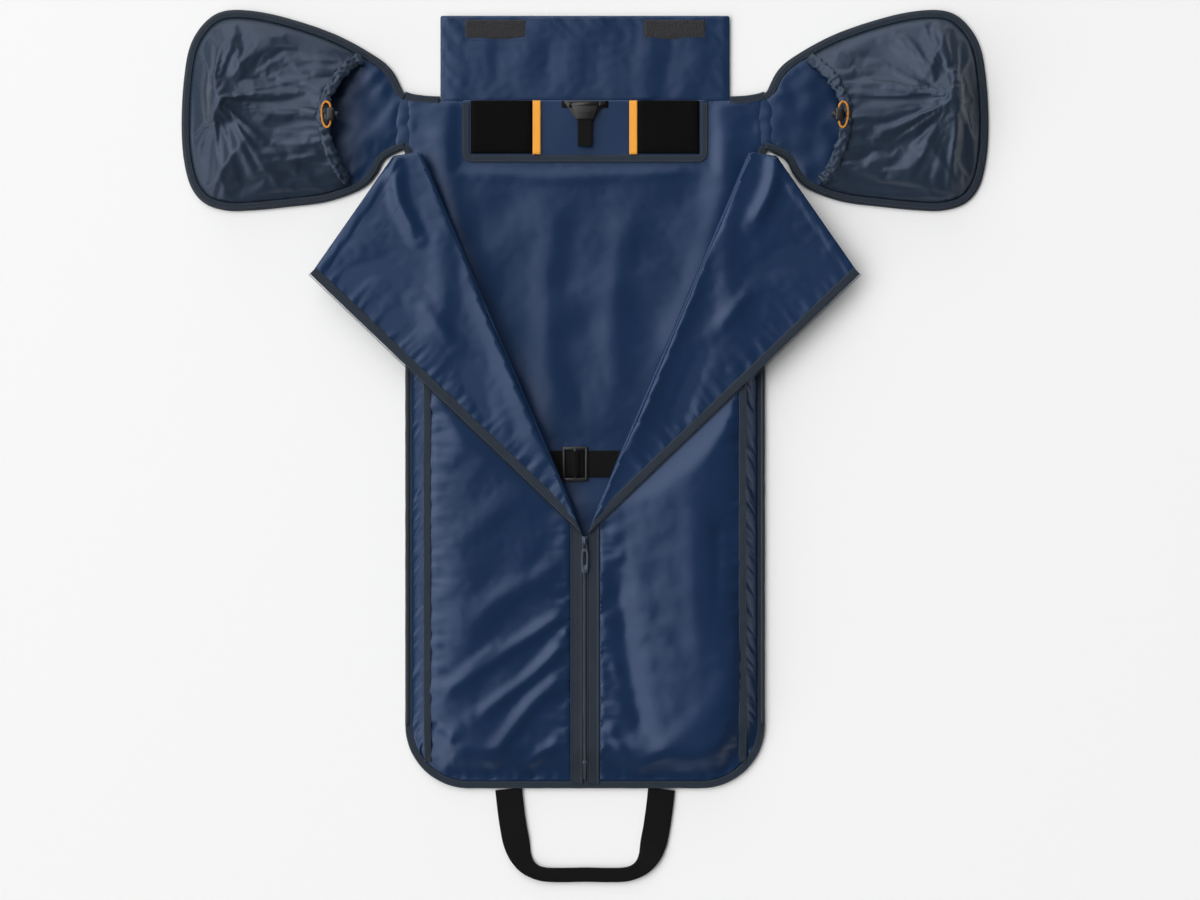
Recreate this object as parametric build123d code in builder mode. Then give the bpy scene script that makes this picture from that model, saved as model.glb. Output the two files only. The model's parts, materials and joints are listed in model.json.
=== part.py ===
from build123d import *
import os
from math import atan2, degrees, pi, radians, tan

# Garment bag that folds and zips into a duffel. It lies open on its back: the two
# lapels are folded outwards, the round duffel ends with their shoe pouches are spread
# to the sides and the top flap is laid back. Millimetres, +Z up from the floor, +Y
# towards the hanger end, X = 0 on the front zip. The left side is modelled and the
# right side is its mirror image.

# ---- Driving sizes ---------------------------------------------------------------
# body
half_width = 255.0
bottom_y = -487.0
top_y = 490.0
bottom_corner_r = 90.0
top_corner_r = 12.0
depth = 22.0  # clear space inside, lining to front panel
shell_t = 3.0
lining_t = 1.0
binding_w = 11.0
binding_t = 1.5
gusset_t = 1.5
gusset_lean = 12.0  # how far the side leans in from foot to seam
side_zip_w = 5.0
side_zip_t = 2.0
side_zip_edge = 1.0  # inside the body's edge
gusset_top_r = 17.0
# front
panel_t = 2.0
front_top_y = 405.0
front_corner_r = 78.0
seam_band_w = 12.0
seam_band_t = 0.5
fold_foot_y = -128.0  # where the two lapel folds meet the zip
coil_half = 3.0
coil_rise = 0.2  # coil above the tape
tape_w = 17.0
lapel_gap = 1.0  # open lapel above the front panel
fold_gap = 0.5  # lapel edge to fold line
coil_gap = 0.15  # half chain to the middle line
coil_start = 6.0  # lapel's half chain above the fold's foot
# zip slider and pull
slider_l = 14.0
slider_w = 9.0
slider_t = 1.5
slider_y = -136.0
pull_w = 10.0
pull_l = 37.0
pull_t = 1.6
pull_slot_w = 4.0
pull_slot_l = 20.0
pull_arm = 10.0  # from the pivot to the tab
pull_play = 0.5  # pull to lug, each side
pivot_r = 1.0
pivot_fit = 0.08
lug_half = 2.5
lug_h = 4.0
lug_l = 6.0
slider_corner_r = 2.5
stop_l = 5.0
stop_gap = 1.0
stop_rise = 1.5
# top flap
flap_half = 205.0
flap_l = 118.4
flap_corner_r = 10.0
flap_play = 0.1  # closed flap's patches over the lapels' patches
patch_l = 87.0
patch_w = 27.0
patch_t = 2.0
patch_x = 127.0
patch_from_top = 14.0  # patch middle below the lapel's top edge
# hanger panel
hanger_half = 174.0
hanger_l = 89.0
hanger_t = 1.2
hanger_corner_r = 14.0
hanger_back = 1.0  # panel's top edge below the body's
hanger_trim_end = 14.0  # the trim's ends below the body's top edge
hanger_binding_w = 10.0
hanger_binding_t = 1.0
pocket_w = 88.0
pocket_l = 75.0
pocket_gap = 5.2
pocket_t = 1.2
pocket_x = 118.0
edging_w = 11.0
edging_t = 1.4
pocket_back = 2.0  # pockets and clip below the body's top edge
# hanger clip
anchor_half = 33.0
anchor_l = 10.0
anchor_t = 1.0
clip_half = 31.0
clip_tip_half = 12.0
clip_l = 27.0
clip_t = 2.0
lever_t = 2.4
ear_t = 3.0
ear_l = 8.0
clip_corner_r = 2.0
pin_back = 6.0  # pin below the clip's back edge
ear_gap = 0.4
pin_r = 1.5
pin_fit = 0.06
pin_lift = 6.0  # pin above the clip base
knuckle_r = 3.4
clip_strap_w = 20.4
clip_strap_l = 38.0
clip_strap_t = 1.5
strap_hem_l = 8.0
strap_hem_t = 3.0
# compression strap
strap_w = 38.0
strap_t = 1.5
strap_y = -27.0
buckle_x = -14.0
buckle_l = 36.0
buckle_w = 49.0
buckle_t = 2.6
buckle_bar = 4.0
buckle_play = 0.5  # strap to rail, each side
strap_end_gap = 2.0
# carry handle
handle_t = 3.0
handle_leg_w = 38.0
handle_root_x = 111.0
handle_knee_x = 88.0
handle_drop = 130.0
grip_w = 20.0
grip_half = 76.0
knee_rise = 12.0  # outer knee above the grip
crotch_rise = 4.0  # inner knee above the grip
crotch_shift = 4.0
grip_shift = 10.0
# duffel ends
wing_reach = 573.0
wing_top_y = 617.0
wing_low_y = 328.0
neck_low_y = 418.0
neck_high_y = 514.0
wing_corner_r = 60.0
wing_crown_x = -450.0
wing_crown_r = 100.0
# bends of the neck, outwards from the fold and up or down from the neck's edges
neck_high_bend = (-45.0, 42.0)
neck_low_bends = ((-117.0, -77.0), (-53.0, -54.0), (-41.0, -12.0))
neck_high_r = 60.0
neck_low_radii = (90.0, 20.0, 10.0)
neck_tab_in = 6.0  # the tab is narrower than the neck, each side
neck_clear = 34.0  # the edge trim stops within this width at the neck's fold
teeth_z = 1.0
teeth_w = 3.0
teeth_t = 3.0
# shoe pouches
pouch_edge = 4.0  # pouch's foot inside the trim
pouch_taper = 28.0
pouch_wall = 2.0
pouch_mouth_x = -345.0
pouch_peak_x = -520.0
pouch_mouth_h = 46.0
pouch_peak_h = 78.0
hem_w = 12.0
hem_t = 2.0
# cord locks
lock_x = -356.0
lock_y = 463.0
lock_w = 12.0
lock_l = 18.0
lock_h = 13.0
plunger_r = 4.4
plunger_fit = 0.08
plunger_out = 5.0
plunger_wall = 1.0
plunger_bore_r = 3.0
plunger_travel = 4.0
lock_floor = 2.0
spring_r = 2.2
spring_wire_r = 0.35
spring_turns = 5
spring_play = 0.05
spring_spare = 0.5
cord_r = 1.5
# running clearances
seat_gap = 0.3  # between pieces that move past each other
tall = 400.0  # cutting blocks, taller than any piece

# ---- Levels and lines that follow from them -----------------------------------------
lining_z = shell_t
floor_z = shell_t + lining_t
wing_top_z = floor_z + binding_t
front_z = floor_z + depth
front_top_z = front_z + panel_t
fold_z = front_top_z + lapel_gap / 2
seam_half = half_width - binding_w - 1.0 - gusset_lean
tape_edge = coil_half + tape_w
front_bottom_y = bottom_y + binding_w + 1.0 + gusset_lean
fold_foot = Vector(-coil_half, fold_foot_y)
fold_head = Vector(-seam_half, front_top_y)
fold_dir = (fold_head - fold_foot).normalized()
fold_in = Vector(fold_dir.Y, -fold_dir.X)  # across the fold, towards the zip
wing_axis_x = -half_width - seat_gap
flap_root_y = top_y + seat_gap
pouch_inset = teeth_w + binding_w + pouch_edge
patch_y = front_top_y - patch_from_top
flap_axis_z = (front_top_z + patch_t + seat_gap + flap_play + floor_z + patch_t) / 2
pouch_pitch = (pouch_peak_h - pouch_mouth_h) / (pouch_mouth_x - pouch_peak_x)


def fold_x(y, gap=0.0):
    """X of the fold line at y, gap towards the zip."""
    along = (y - fold_foot.Y) / fold_dir.Y
    return fold_foot.X + along * fold_dir.X + gap / fold_in.X


def fold_y(x, gap=0.0):
    """Y of the fold line at x, gap towards the zip."""
    along = (x - fold_foot.X) / fold_dir.X
    return fold_foot.Y + along * fold_dir.Y + gap / fold_in.Y


def folded(x, y):
    """A point of the closed lapel, laid over to where it lies when open."""
    arm = Vector(x, y) - fold_foot
    across = fold_in * arm.dot(fold_in)
    return tuple(Vector(x, y) - across * 2)[:2]


def pouch_roof(x):
    """Height of the pouch's roof at x."""
    return pouch_mouth_h + (pouch_mouth_x - x) * pouch_pitch


# ---- Makers ------------------------------------------------------------------------
def save(piece, name):
    piece.label = name
    export_step(piece, f"parts/{name}.step")


def save_pair(piece, name):
    """Write the left piece and its mirror image."""
    save(piece, f"{name}_left")
    with BuildPart() as right:
        mirror(piece, about=Plane.YZ)
    save(right.part, f"{name}_right")


def face(points, radii):
    """A flat face round the points, each corner with its radius."""
    with BuildSketch() as outline:
        with BuildLine():
            FilletPolyline(*points, radius=radii, close=True)
        make_face()
    return outline.sketch


def inset(outline, amount):
    with BuildSketch() as smaller:
        add(outline)
        offset(amount=-amount)
    return smaller.sketch


def plate(outline, z, thick):
    """A sheet of this outline."""
    with BuildPart() as sheet:
        with BuildSketch(Plane.XY.offset(z)):
            add(outline)
        extrude(amount=thick)
    return sheet.part


def strip(x0, x1, y0, y1, z0, z1):
    """A square-edged block between these planes."""
    with BuildPart() as block:
        with Locations(((x0 + x1) / 2, (y0 + y1) / 2, (z0 + z1) / 2)):
            Box(x1 - x0, y1 - y0, z1 - z0)
    return block.part


def between(piece, x0, x1, y0, y1):
    """The part of a piece between these planes."""
    with BuildPart() as part_of:
        add(piece)
        with Locations(((x0 + x1) / 2, (y0 + y1) / 2, 0)):
            Box(x1 - x0, y1 - y0, tall, mode=Mode.INTERSECT)
    return part_of.part


def ring(outer, inner, z, thick):
    """A flat band between two outlines."""
    with BuildPart() as band:
        with BuildSketch(Plane.XY.offset(z)):
            add(outer)
            add(inner, mode=Mode.SUBTRACT)
        extrude(amount=thick)
    return band.part


# ---- Body ----------------------------------------------------------------------------
def body_outline(half, low, high, low_r, high_r):
    corners = [(-half, low), (half, low), (half, high), (-half, high)]
    return face(corners, [low_r, low_r, high_r, high_r])


body_face = body_outline(half_width, bottom_y, top_y, bottom_corner_r, top_corner_r)
save(plate(body_face, 0, shell_t), "outer_shell")
save(plate(body_face, lining_z, lining_t), "back_lining")

binding = ring(body_face, inset(body_face, binding_w), floor_z, binding_t)
save(between(binding, -half_width, half_width, bottom_y, front_top_y), "edge_binding")

side_zip = strip(
    -half_width + side_zip_edge, -half_width + side_zip_edge + side_zip_w,
    bottom_y + bottom_corner_r, front_top_y,
    floor_z + binding_t, floor_z + binding_t + side_zip_t,
)
save_pair(side_zip, "side_zip")

# the gusset leans in from its foot to the front panel's seam
foot_half = seam_half + gusset_lean
foot_low = front_bottom_y - gusset_lean
gusset_foot = body_outline(foot_half, foot_low, top_y, bottom_corner_r - binding_w, gusset_top_r)
gusset_angle = degrees(atan2(gusset_lean, depth))
with BuildPart() as gusset:
    with BuildSketch(Plane.XY.offset(floor_z)):
        add(gusset_foot)
    extrude(amount=depth, taper=gusset_angle)
    with BuildSketch(Plane.XY.offset(floor_z)):
        add(inset(gusset_foot, gusset_t))
    extrude(amount=depth, taper=gusset_angle, mode=Mode.SUBTRACT)
straight_half = half_width - bottom_corner_r
save_pair(
    between(gusset.part, -half_width, -straight_half, bottom_y, front_top_y), "gusset"
)
save(
    between(gusset.part, -straight_half, straight_half, bottom_y, bottom_y + bottom_corner_r),
    "gusset_bottom",
)

# ---- Front panels and zip -------------------------------------------------------------
panel_face = face(
    [
        (-tape_edge, front_bottom_y),
        (-tape_edge, fold_y(-tape_edge)),
        (-seam_half, front_top_y),
        (-seam_half, front_bottom_y),
    ],
    [0, 0, 0, front_corner_r],
)
save_pair(plate(panel_face, front_z, panel_t), "front_panel")

seam_outer = body_outline(seam_half, front_bottom_y, top_y, front_corner_r, 0)
seam_ring = ring(seam_outer, inset(seam_outer, seam_band_w), front_top_z, seam_band_t)
fold_reach = fold_y(-seam_half + seam_band_w)
save(between(seam_ring, -half_width, half_width, bottom_y, fold_reach), "seam_band")

tape_face = face(
    [
        (-coil_half, front_bottom_y),
        (-coil_half, fold_y(-coil_half)),
        (-tape_edge, fold_y(-tape_edge)),
        (-tape_edge, front_bottom_y),
    ],
    [0, 0, 0, 0],
)
save_pair(plate(tape_face, front_z, panel_t), "zip_tape")

stop_y = front_bottom_y + seam_band_w + stop_gap
coil_top_z = front_top_z + coil_rise
save(
    strip(-coil_half, coil_half, stop_y + stop_l, fold_foot_y, front_z, coil_top_z), "zip_coil"
)
save(
    strip(-coil_half, coil_half, stop_y, stop_y + stop_l, front_z, coil_top_z + stop_rise),
    "zip_bottom_stop",
)

slider_z = coil_top_z + seat_gap
pivot_z = slider_z + slider_t + lug_h / 2
with BuildPart() as zip_slider:
    with BuildSketch(Plane.XY.offset(slider_z)):
        with Locations((0, slider_y)):
            RectangleRounded(slider_w, slider_l, slider_corner_r)
    extrude(amount=slider_t)
    with Locations((0, slider_y, pivot_z)):
        Box(2 * lug_half, lug_l, lug_h)
        Cylinder(pivot_r + pivot_fit, slider_w, rotation=(0, 90, 0), mode=Mode.SUBTRACT)
save(zip_slider.part, "zip_slider")

with BuildPart() as zip_pull:
    with BuildSketch(Plane.XY.offset(pivot_z - pull_t / 2)):
        with Locations((0, slider_y - (pull_arm + pull_l) / 2 + pull_t)):
            Rectangle(pull_w, pull_arm + pull_l)
        with Locations((0, slider_y - pull_arm / 2 + lug_l / 3)):
            Rectangle(2 * (lug_half + pull_play), pull_arm + lug_l * 2 / 3, mode=Mode.SUBTRACT)
        with Locations((0, slider_y - pull_arm - pull_l / 2)):
            SlotCenterToCenter(
                pull_slot_l, pull_slot_w, rotation=90, mode=Mode.SUBTRACT
            )
    extrude(amount=pull_t)
    with Locations((0, slider_y, pivot_z)):
        Cylinder(pivot_r, pull_w, rotation=(0, 90, 0))
save(zip_pull.part, "zip_pull")

# ---- Lapels, modelled closed and laid open over their fold -----------------------------
lapel_z = front_top_z + lapel_gap


def laid_open(corners):
    return face([folded(x, y) for x, y in reversed(corners)], [0] * len(corners))


lapel_face = laid_open(
    [
        (-tape_edge, fold_y(-tape_edge, fold_gap)),
        (-tape_edge, front_top_y),
        (fold_x(front_top_y, fold_gap), front_top_y),
    ]
)
save_pair(plate(lapel_face, lapel_z, panel_t), "lapel")

lapel_tape_face = laid_open(
    [
        (-coil_half, fold_y(-coil_half, fold_gap)),
        (-coil_half, front_top_y),
        (-tape_edge, front_top_y),
        (-tape_edge, fold_y(-tape_edge, fold_gap)),
    ]
)
lapel_coil_face = laid_open(
    [
        (-coil_gap, fold_foot_y + coil_start),
        (-coil_gap, front_top_y),
        (-coil_half, front_top_y),
        (-coil_half, fold_foot_y + coil_start),
    ]
)
with BuildPart() as lapel_zip:
    add(plate(lapel_tape_face, lapel_z, panel_t))
    add(plate(lapel_coil_face, lapel_z - coil_rise, panel_t + coil_rise))
save_pair(lapel_zip.part, "lapel_zip")

loop_patch_face = laid_open(
    [
        (-patch_x - patch_l / 2, patch_y - patch_w / 2),
        (-patch_x + patch_l / 2, patch_y - patch_w / 2),
        (-patch_x + patch_l / 2, patch_y + patch_w / 2),
        (-patch_x - patch_l / 2, patch_y + patch_w / 2),
    ]
)
save_pair(plate(loop_patch_face, lapel_z - patch_t, patch_t), "loop_patch")

# ---- Top flap ---------------------------------------------------------------------------
flap_top_y = flap_root_y + flap_l
flap_face = face(
    [
        (-flap_half, flap_root_y),
        (flap_half, flap_root_y),
        (flap_half, flap_top_y),
        (-flap_half, flap_top_y),
    ],
    [0, 0, flap_corner_r, flap_corner_r],
)
save(plate(flap_face, 0, shell_t), "top_flap")
save(plate(flap_face, lining_z, lining_t), "flap_lining")
hook_y = 2 * flap_root_y - patch_y
with BuildPart() as hook_patches:
    with BuildSketch(Plane.XY.offset(floor_z)):
        with Locations((-patch_x, hook_y), (patch_x, hook_y)):
            RectangleRounded(patch_l, patch_w, patch_t)
    extrude(amount=patch_t)
save(hook_patches.part, "hook_patches")

# ---- Hanger panel, pockets and clip --------------------------------------------------------
hanger_low = top_y - hanger_l
hanger_face = body_outline(hanger_half, hanger_low, top_y - hanger_back, hanger_corner_r, 0)
save(plate(hanger_face, floor_z, hanger_t), "hanger_panel")
hanger_z = floor_z + hanger_t
hanger_ring = ring(hanger_face, inset(hanger_face, hanger_binding_w), hanger_z, hanger_binding_t)
save(
    between(hanger_ring, -hanger_half, hanger_half, hanger_low, top_y - hanger_trim_end),
    "panel_binding",
)

pocket_top = top_y - pocket_back
pocket_low = pocket_top - pocket_l
pocket_z = hanger_z + pocket_gap + pocket_t
pocket_left = -pocket_x - pocket_w / 2
pocket_right = -pocket_x + pocket_w / 2
with BuildPart() as elastic_pocket:
    add(strip(pocket_left, pocket_right, pocket_low, pocket_top, hanger_z, pocket_z))
    add(
        strip(
            pocket_left + pocket_t, pocket_right - pocket_t,
            pocket_low + pocket_t, pocket_top + 1, hanger_z - 1, pocket_z - pocket_t,
        ),
        mode=Mode.SUBTRACT,
    )
save_pair(elastic_pocket.part, "elastic_pocket")

edging_x = pocket_x - pocket_w / 2
edging_y = (pocket_low + pocket_top) / 2
with BuildPart() as pocket_edgings:
    for side in (-1, 1):
        with Locations((side * (edging_x - edging_w / 2), edging_y, hanger_z + edging_t / 2)):
            Box(edging_w, pocket_l, edging_t)
save(pocket_edgings.part, "pocket_edgings")

anchor_high = top_y - pocket_back
anchor_low = anchor_high - anchor_l
save(
    strip(-anchor_half, anchor_half, anchor_low, anchor_high, hanger_z, hanger_z + anchor_t),
    "clip_anchor_tape",
)
clip_z = hanger_z + anchor_t
pin_y = anchor_high - pin_back
pin_z = clip_z + clip_t + pin_lift
clip_face = face(
    [
        (-clip_half, anchor_high),
        (-clip_tip_half, anchor_high - clip_l),
        (clip_tip_half, anchor_high - clip_l),
        (clip_half, anchor_high),
    ],
    [0, clip_corner_r, clip_corner_r, 0],
)
ear_in = clip_half - ear_l - ear_t
with BuildPart() as clip_base:
    add(plate(clip_face, clip_z, clip_t))
    for side in (-1, 1):
        with Locations((side * (ear_in + ear_t / 2), pin_y, (clip_z + pin_z + knuckle_r) / 2)):
            Box(ear_t, ear_l, pin_z + knuckle_r - clip_z)
    with Locations((0, pin_y, pin_z)):
        Cylinder(pin_r + pin_fit, 2 * clip_half, rotation=(0, 90, 0), mode=Mode.SUBTRACT)
save(clip_base.part, "clip_base")
with BuildPart() as clip_pin:
    with Locations((0, pin_y, pin_z)):
        Cylinder(pin_r, 2 * (ear_in + ear_t), rotation=(0, 90, 0))
save(clip_pin.part, "clip_pin")

lever_half = ear_in - ear_gap
lever_tip = anchor_high - clip_l
with BuildPart() as hanger_lever:
    with BuildSketch(Plane.XY.offset(pin_z)):
        Polygon(
            (-lever_half, pin_y), (-clip_tip_half, lever_tip),
            (clip_tip_half, lever_tip), (lever_half, pin_y), align=None,
        )
    extrude(amount=lever_t)
    with Locations((0, pin_y, pin_z)):
        Cylinder(knuckle_r, 2 * lever_half, rotation=(0, 90, 0))
        Cylinder(pin_r + pin_fit, 2 * clip_half, rotation=(0, 90, 0), mode=Mode.SUBTRACT)
save(hanger_lever.part, "hanger_lever")

strap_end = lever_tip - clip_strap_l
strap_edge = clip_strap_w / 2
with BuildPart() as clip_strap:
    add(strip(-strap_edge, strap_edge, strap_end, lever_tip, pin_z, pin_z + clip_strap_t))
    add(strip(-strap_edge, strap_edge, strap_end, strap_end + strap_hem_l, pin_z, pin_z + strap_hem_t))
save(clip_strap.part, "clip_strap")

# ---- Compression strap and its buckle -------------------------------------------------------
strap_half = foot_half - gusset_t - strap_end_gap
strap_low = strap_y - strap_w / 2
strap_high = strap_y + strap_w / 2
save(
    strip(-strap_half, strap_half, strap_low, strap_high, floor_z, floor_z + strap_t),
    "compression_strap",
)
bar_z = floor_z + strap_t + seat_gap
buckle_top = bar_z + buckle_t
rail_w = (buckle_w - strap_w) / 2 - buckle_play
rail_low = floor_z + seat_gap
with BuildPart() as strap_buckle:
    for side in (-1, 1):
        rail_y = strap_y + side * (buckle_w - rail_w) / 2
        with Locations((buckle_x, rail_y, (rail_low + buckle_top) / 2)):
            Box(buckle_l, rail_w, buckle_top - rail_low)
    for at in (-1, 0, 1):
        bar_x = buckle_x + at * (buckle_l - buckle_bar) / 2
        with Locations((bar_x, strap_y, bar_z + buckle_t / 2)):
            Box(buckle_bar, buckle_w, buckle_t)
save(strap_buckle.part, "strap_buckle")

# ---- Carry handle ---------------------------------------------------------------------------
handle_y = bottom_y - seat_gap
grip_y = handle_y - handle_drop + grip_w
knee_y = grip_y + knee_rise
knee_in = handle_knee_x - handle_leg_w / 2
with BuildPart() as carry_handle:
    with BuildSketch() as handle_outline:
        Polygon(
            (-handle_root_x - handle_leg_w / 2, handle_y),
            (-handle_knee_x - handle_leg_w / 2, knee_y),
            (-grip_half, grip_y - grip_w),
            (grip_half, grip_y - grip_w),
            (handle_knee_x + handle_leg_w / 2, knee_y),
            (handle_root_x + handle_leg_w / 2, handle_y),
            (handle_root_x - handle_leg_w / 2, handle_y),
            (knee_in + crotch_shift, grip_y + crotch_rise),
            (knee_in - grip_shift, grip_y),
            (-knee_in + grip_shift, grip_y),
            (-knee_in - crotch_shift, grip_y + crotch_rise),
            (-handle_root_x + handle_leg_w / 2, handle_y),
            align=None,
        )
    extrude(amount=handle_t)
save(carry_handle.part, "carry_handle")

# ---- Duffel ends ------------------------------------------------------------------------------
wing_face = face(
    [
        (wing_axis_x, neck_high_y),
        (wing_axis_x + neck_high_bend[0], neck_high_y + neck_high_bend[1]),
        (wing_crown_x, wing_top_y),
        (-wing_reach, wing_top_y),
        (-wing_reach, wing_low_y),
        *[(wing_axis_x + x, neck_low_y + y) for x, y in neck_low_bends],
        (wing_axis_x, neck_low_y),
    ],
    [0, neck_high_r, wing_crown_r, wing_corner_r, wing_corner_r, *neck_low_radii, 0],
)
wing_inner = inset(wing_face, teeth_w)
tab_x = wing_axis_x - teeth_w - 1
tab_low = neck_low_y + neck_tab_in
tab_high = neck_high_y - neck_tab_in


def open_neck(piece):
    """A ring of the duffel end, open where the neck joins the body."""
    with BuildPart() as opened:
        add(piece)
        with Locations((wing_axis_x, (neck_low_y + neck_high_y) / 2, 0)):
            Box(neck_clear, neck_high_y - neck_low_y - neck_tab_in, tall, mode=Mode.SUBTRACT)
    return opened.part


with BuildPart() as neck_tab:
    add(plate(wing_inner, 0, shell_t))
    add(strip(tab_x, wing_axis_x, tab_low, tab_high, 0, shell_t))
save_pair(neck_tab.part, "wing_panel")
with BuildPart() as neck_lining:
    add(plate(wing_inner, lining_z, lining_t))
    add(strip(tab_x, wing_axis_x, tab_low, tab_high, lining_z, floor_z))
save_pair(neck_lining.part, "wing_lining")
wing_ring = ring(wing_inner, inset(wing_face, teeth_w + binding_w), floor_z, binding_t)
save_pair(open_neck(wing_ring), "wing_binding")
save_pair(open_neck(ring(wing_face, wing_inner, teeth_z, teeth_t)), "wing_teeth")


def pouch_block(grow, x0, x1):
    """The pouch's solid, grown by a skin and kept between two planes."""
    with BuildPart() as block:
        with BuildSketch(Plane.XY.offset(floor_z)):
            add(inset(wing_face, pouch_inset - grow))
        extrude(amount=pouch_peak_h + 20, taper=pouch_taper)
        with BuildSketch(Plane.XZ.offset(-wing_top_y)):
            Polygon(
                (x0, 0), (x1, 0), (x1, pouch_roof(x1) + grow), (x0, pouch_roof(x0) + grow), align=None
            )
        extrude(amount=tall, mode=Mode.INTERSECT)
    return block.part


with BuildPart() as pouch:
    add(pouch_block(0, -wing_reach, pouch_mouth_x))
    add(pouch_block(-pouch_wall, -wing_reach, pouch_mouth_x + 1), mode=Mode.SUBTRACT)
save_pair(pouch.part, "shoe_pouch")
with BuildPart() as pouch_hem:
    add(pouch_block(seat_gap + hem_t, pouch_mouth_x - hem_w, pouch_mouth_x))
    add(pouch_block(seat_gap, pouch_mouth_x - hem_w - 1, pouch_mouth_x + 1), mode=Mode.SUBTRACT)
save_pair(pouch_hem.part, "pouch_hem")

# ---- Cord locks and drawcords ------------------------------------------------------------------
lock_z = max(pouch_roof(pouch_mouth_x - hem_w) + hem_t + seat_gap, pouch_roof(lock_x - lock_w / 2))
lock_z += seat_gap + lock_h / 2
lock_inner_x = lock_x + lock_w / 2
with BuildPart() as cord_lock:
    with Locations((lock_x, lock_y, lock_z)):
        Box(lock_w, lock_l, lock_h)
    with Locations((lock_x + lock_floor, lock_y, lock_z)):
        Cylinder(plunger_r + plunger_fit, lock_w, rotation=(0, 90, 0), mode=Mode.SUBTRACT)
save_pair(cord_lock.part, "cord_lock")

plunger_l = lock_w - lock_floor - plunger_travel - seat_gap + plunger_out
with BuildPart() as lock_plunger:
    with Locations((lock_inner_x + plunger_out - plunger_l / 2, lock_y, lock_z)):
        Cylinder(plunger_r, plunger_l, rotation=(0, 90, 0))
    with Locations((lock_inner_x + plunger_out - plunger_l / 2 - plunger_wall, lock_y, lock_z)):
        Cylinder(plunger_bore_r, plunger_l, rotation=(0, 90, 0), mode=Mode.SUBTRACT)
save_pair(lock_plunger.part, "lock_plunger")

spring_l = plunger_l - plunger_wall - spring_spare
spring_x = lock_x - lock_w / 2 + lock_floor + spring_wire_r + spring_play
with BuildPart() as lock_spring:
    with BuildLine() as coil_line:
        Helix(
            pitch=spring_l / spring_turns,
            height=spring_l - 2 * spring_wire_r - seat_gap,
            radius=spring_r,
            center=(spring_x, lock_y, lock_z),
            direction=(1, 0, 0),
        )
    with BuildSketch(coil_line.line ^ 0):
        Circle(spring_wire_r)
    sweep()
save_pair(lock_spring.part, "lock_spring")

# the drawcord's loose loop, out of one end of the lock and back into the other
half_lock = lock_l / 2
loop_steps = [
    (0, half_lock, 0),
    (0, half_lock + 5.5, 0),
    (-6.5, half_lock + 10, -1.2),
    (-12, half_lock + 4.5, -2.2),
    (-12.8, 4, -2.8),
    (-12.2, -5.5, -2.8),
    (-10.2, -half_lock - 5, -2.2),
    (-5.4, -half_lock - 10, -1.2),
    (0, -half_lock - 5.5, 0),
    (0, -half_lock, 0),
]
loop_points = [Vector(lock_x + x, lock_y + y, lock_z + z) for x, y, z in loop_steps]
bend_radii = []
for before, corner, after in zip(loop_points, loop_points[1:], loop_points[2:]):
    run_in = corner - before
    run_out = after - corner
    turn = run_in.get_angle(run_out)
    bend_radii.append(0.45 * min(run_in.length, run_out.length) / tan(radians(turn / 2)))
print("drawcord radii", [round(r, 1) for r in bend_radii])
with BuildPart() as drawcord:
    with BuildLine() as cord_line:
        FilletPolyline(*loop_points, radius=bend_radii)
    with BuildSketch(Plane(origin=loop_points[0], z_dir=loop_points[1] - loop_points[0])):
        Circle(cord_r)
    sweep()
cord_length = cord_line.wires()[0].length
cord_share = drawcord.part.volume / (cord_length * pi * cord_r**2)
print("drawcord length", round(cord_length, 1), "volume share", round(cord_share, 4))
save_pair(drawcord.part, "drawcord")
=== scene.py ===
import json
from math import cos, exp, hypot, pi, radians, sin, sqrt
import bmesh
import bpy
import numpy as np
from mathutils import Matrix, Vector, noise
from mathutils.geometry import delaunay_2d_cdt
from mathutils.kdtree import KDTree


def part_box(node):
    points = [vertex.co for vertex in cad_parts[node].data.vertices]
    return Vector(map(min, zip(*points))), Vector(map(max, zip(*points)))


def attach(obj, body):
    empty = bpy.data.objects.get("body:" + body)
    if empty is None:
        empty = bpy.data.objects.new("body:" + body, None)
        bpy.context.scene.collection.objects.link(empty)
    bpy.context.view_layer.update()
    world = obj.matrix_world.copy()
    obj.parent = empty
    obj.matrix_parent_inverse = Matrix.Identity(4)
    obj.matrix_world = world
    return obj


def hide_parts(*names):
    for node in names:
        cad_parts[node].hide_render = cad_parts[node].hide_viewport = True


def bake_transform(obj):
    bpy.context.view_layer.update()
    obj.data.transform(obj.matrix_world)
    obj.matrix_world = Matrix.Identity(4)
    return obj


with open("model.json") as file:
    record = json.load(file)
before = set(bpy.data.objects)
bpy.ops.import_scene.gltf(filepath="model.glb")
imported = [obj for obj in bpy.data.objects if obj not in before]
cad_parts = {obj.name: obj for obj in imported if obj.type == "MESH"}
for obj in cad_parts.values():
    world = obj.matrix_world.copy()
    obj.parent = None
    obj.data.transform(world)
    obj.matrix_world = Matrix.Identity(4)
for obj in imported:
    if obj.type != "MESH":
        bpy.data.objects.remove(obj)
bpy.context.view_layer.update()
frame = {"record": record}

# A garment bag laid open on its back. Metres, +Z up, +Y towards the hanger end, X = 0
# on the front zip. Cloth pieces are cut flat, loosened, and settled by cloth simulation
# between their seams; tapes and webbing are swept along the seams; stitches and zip
# teeth are set out along them by geometry nodes.

MM = 0.001
SIDES = (("left", -1), ("right", 1))

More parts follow.
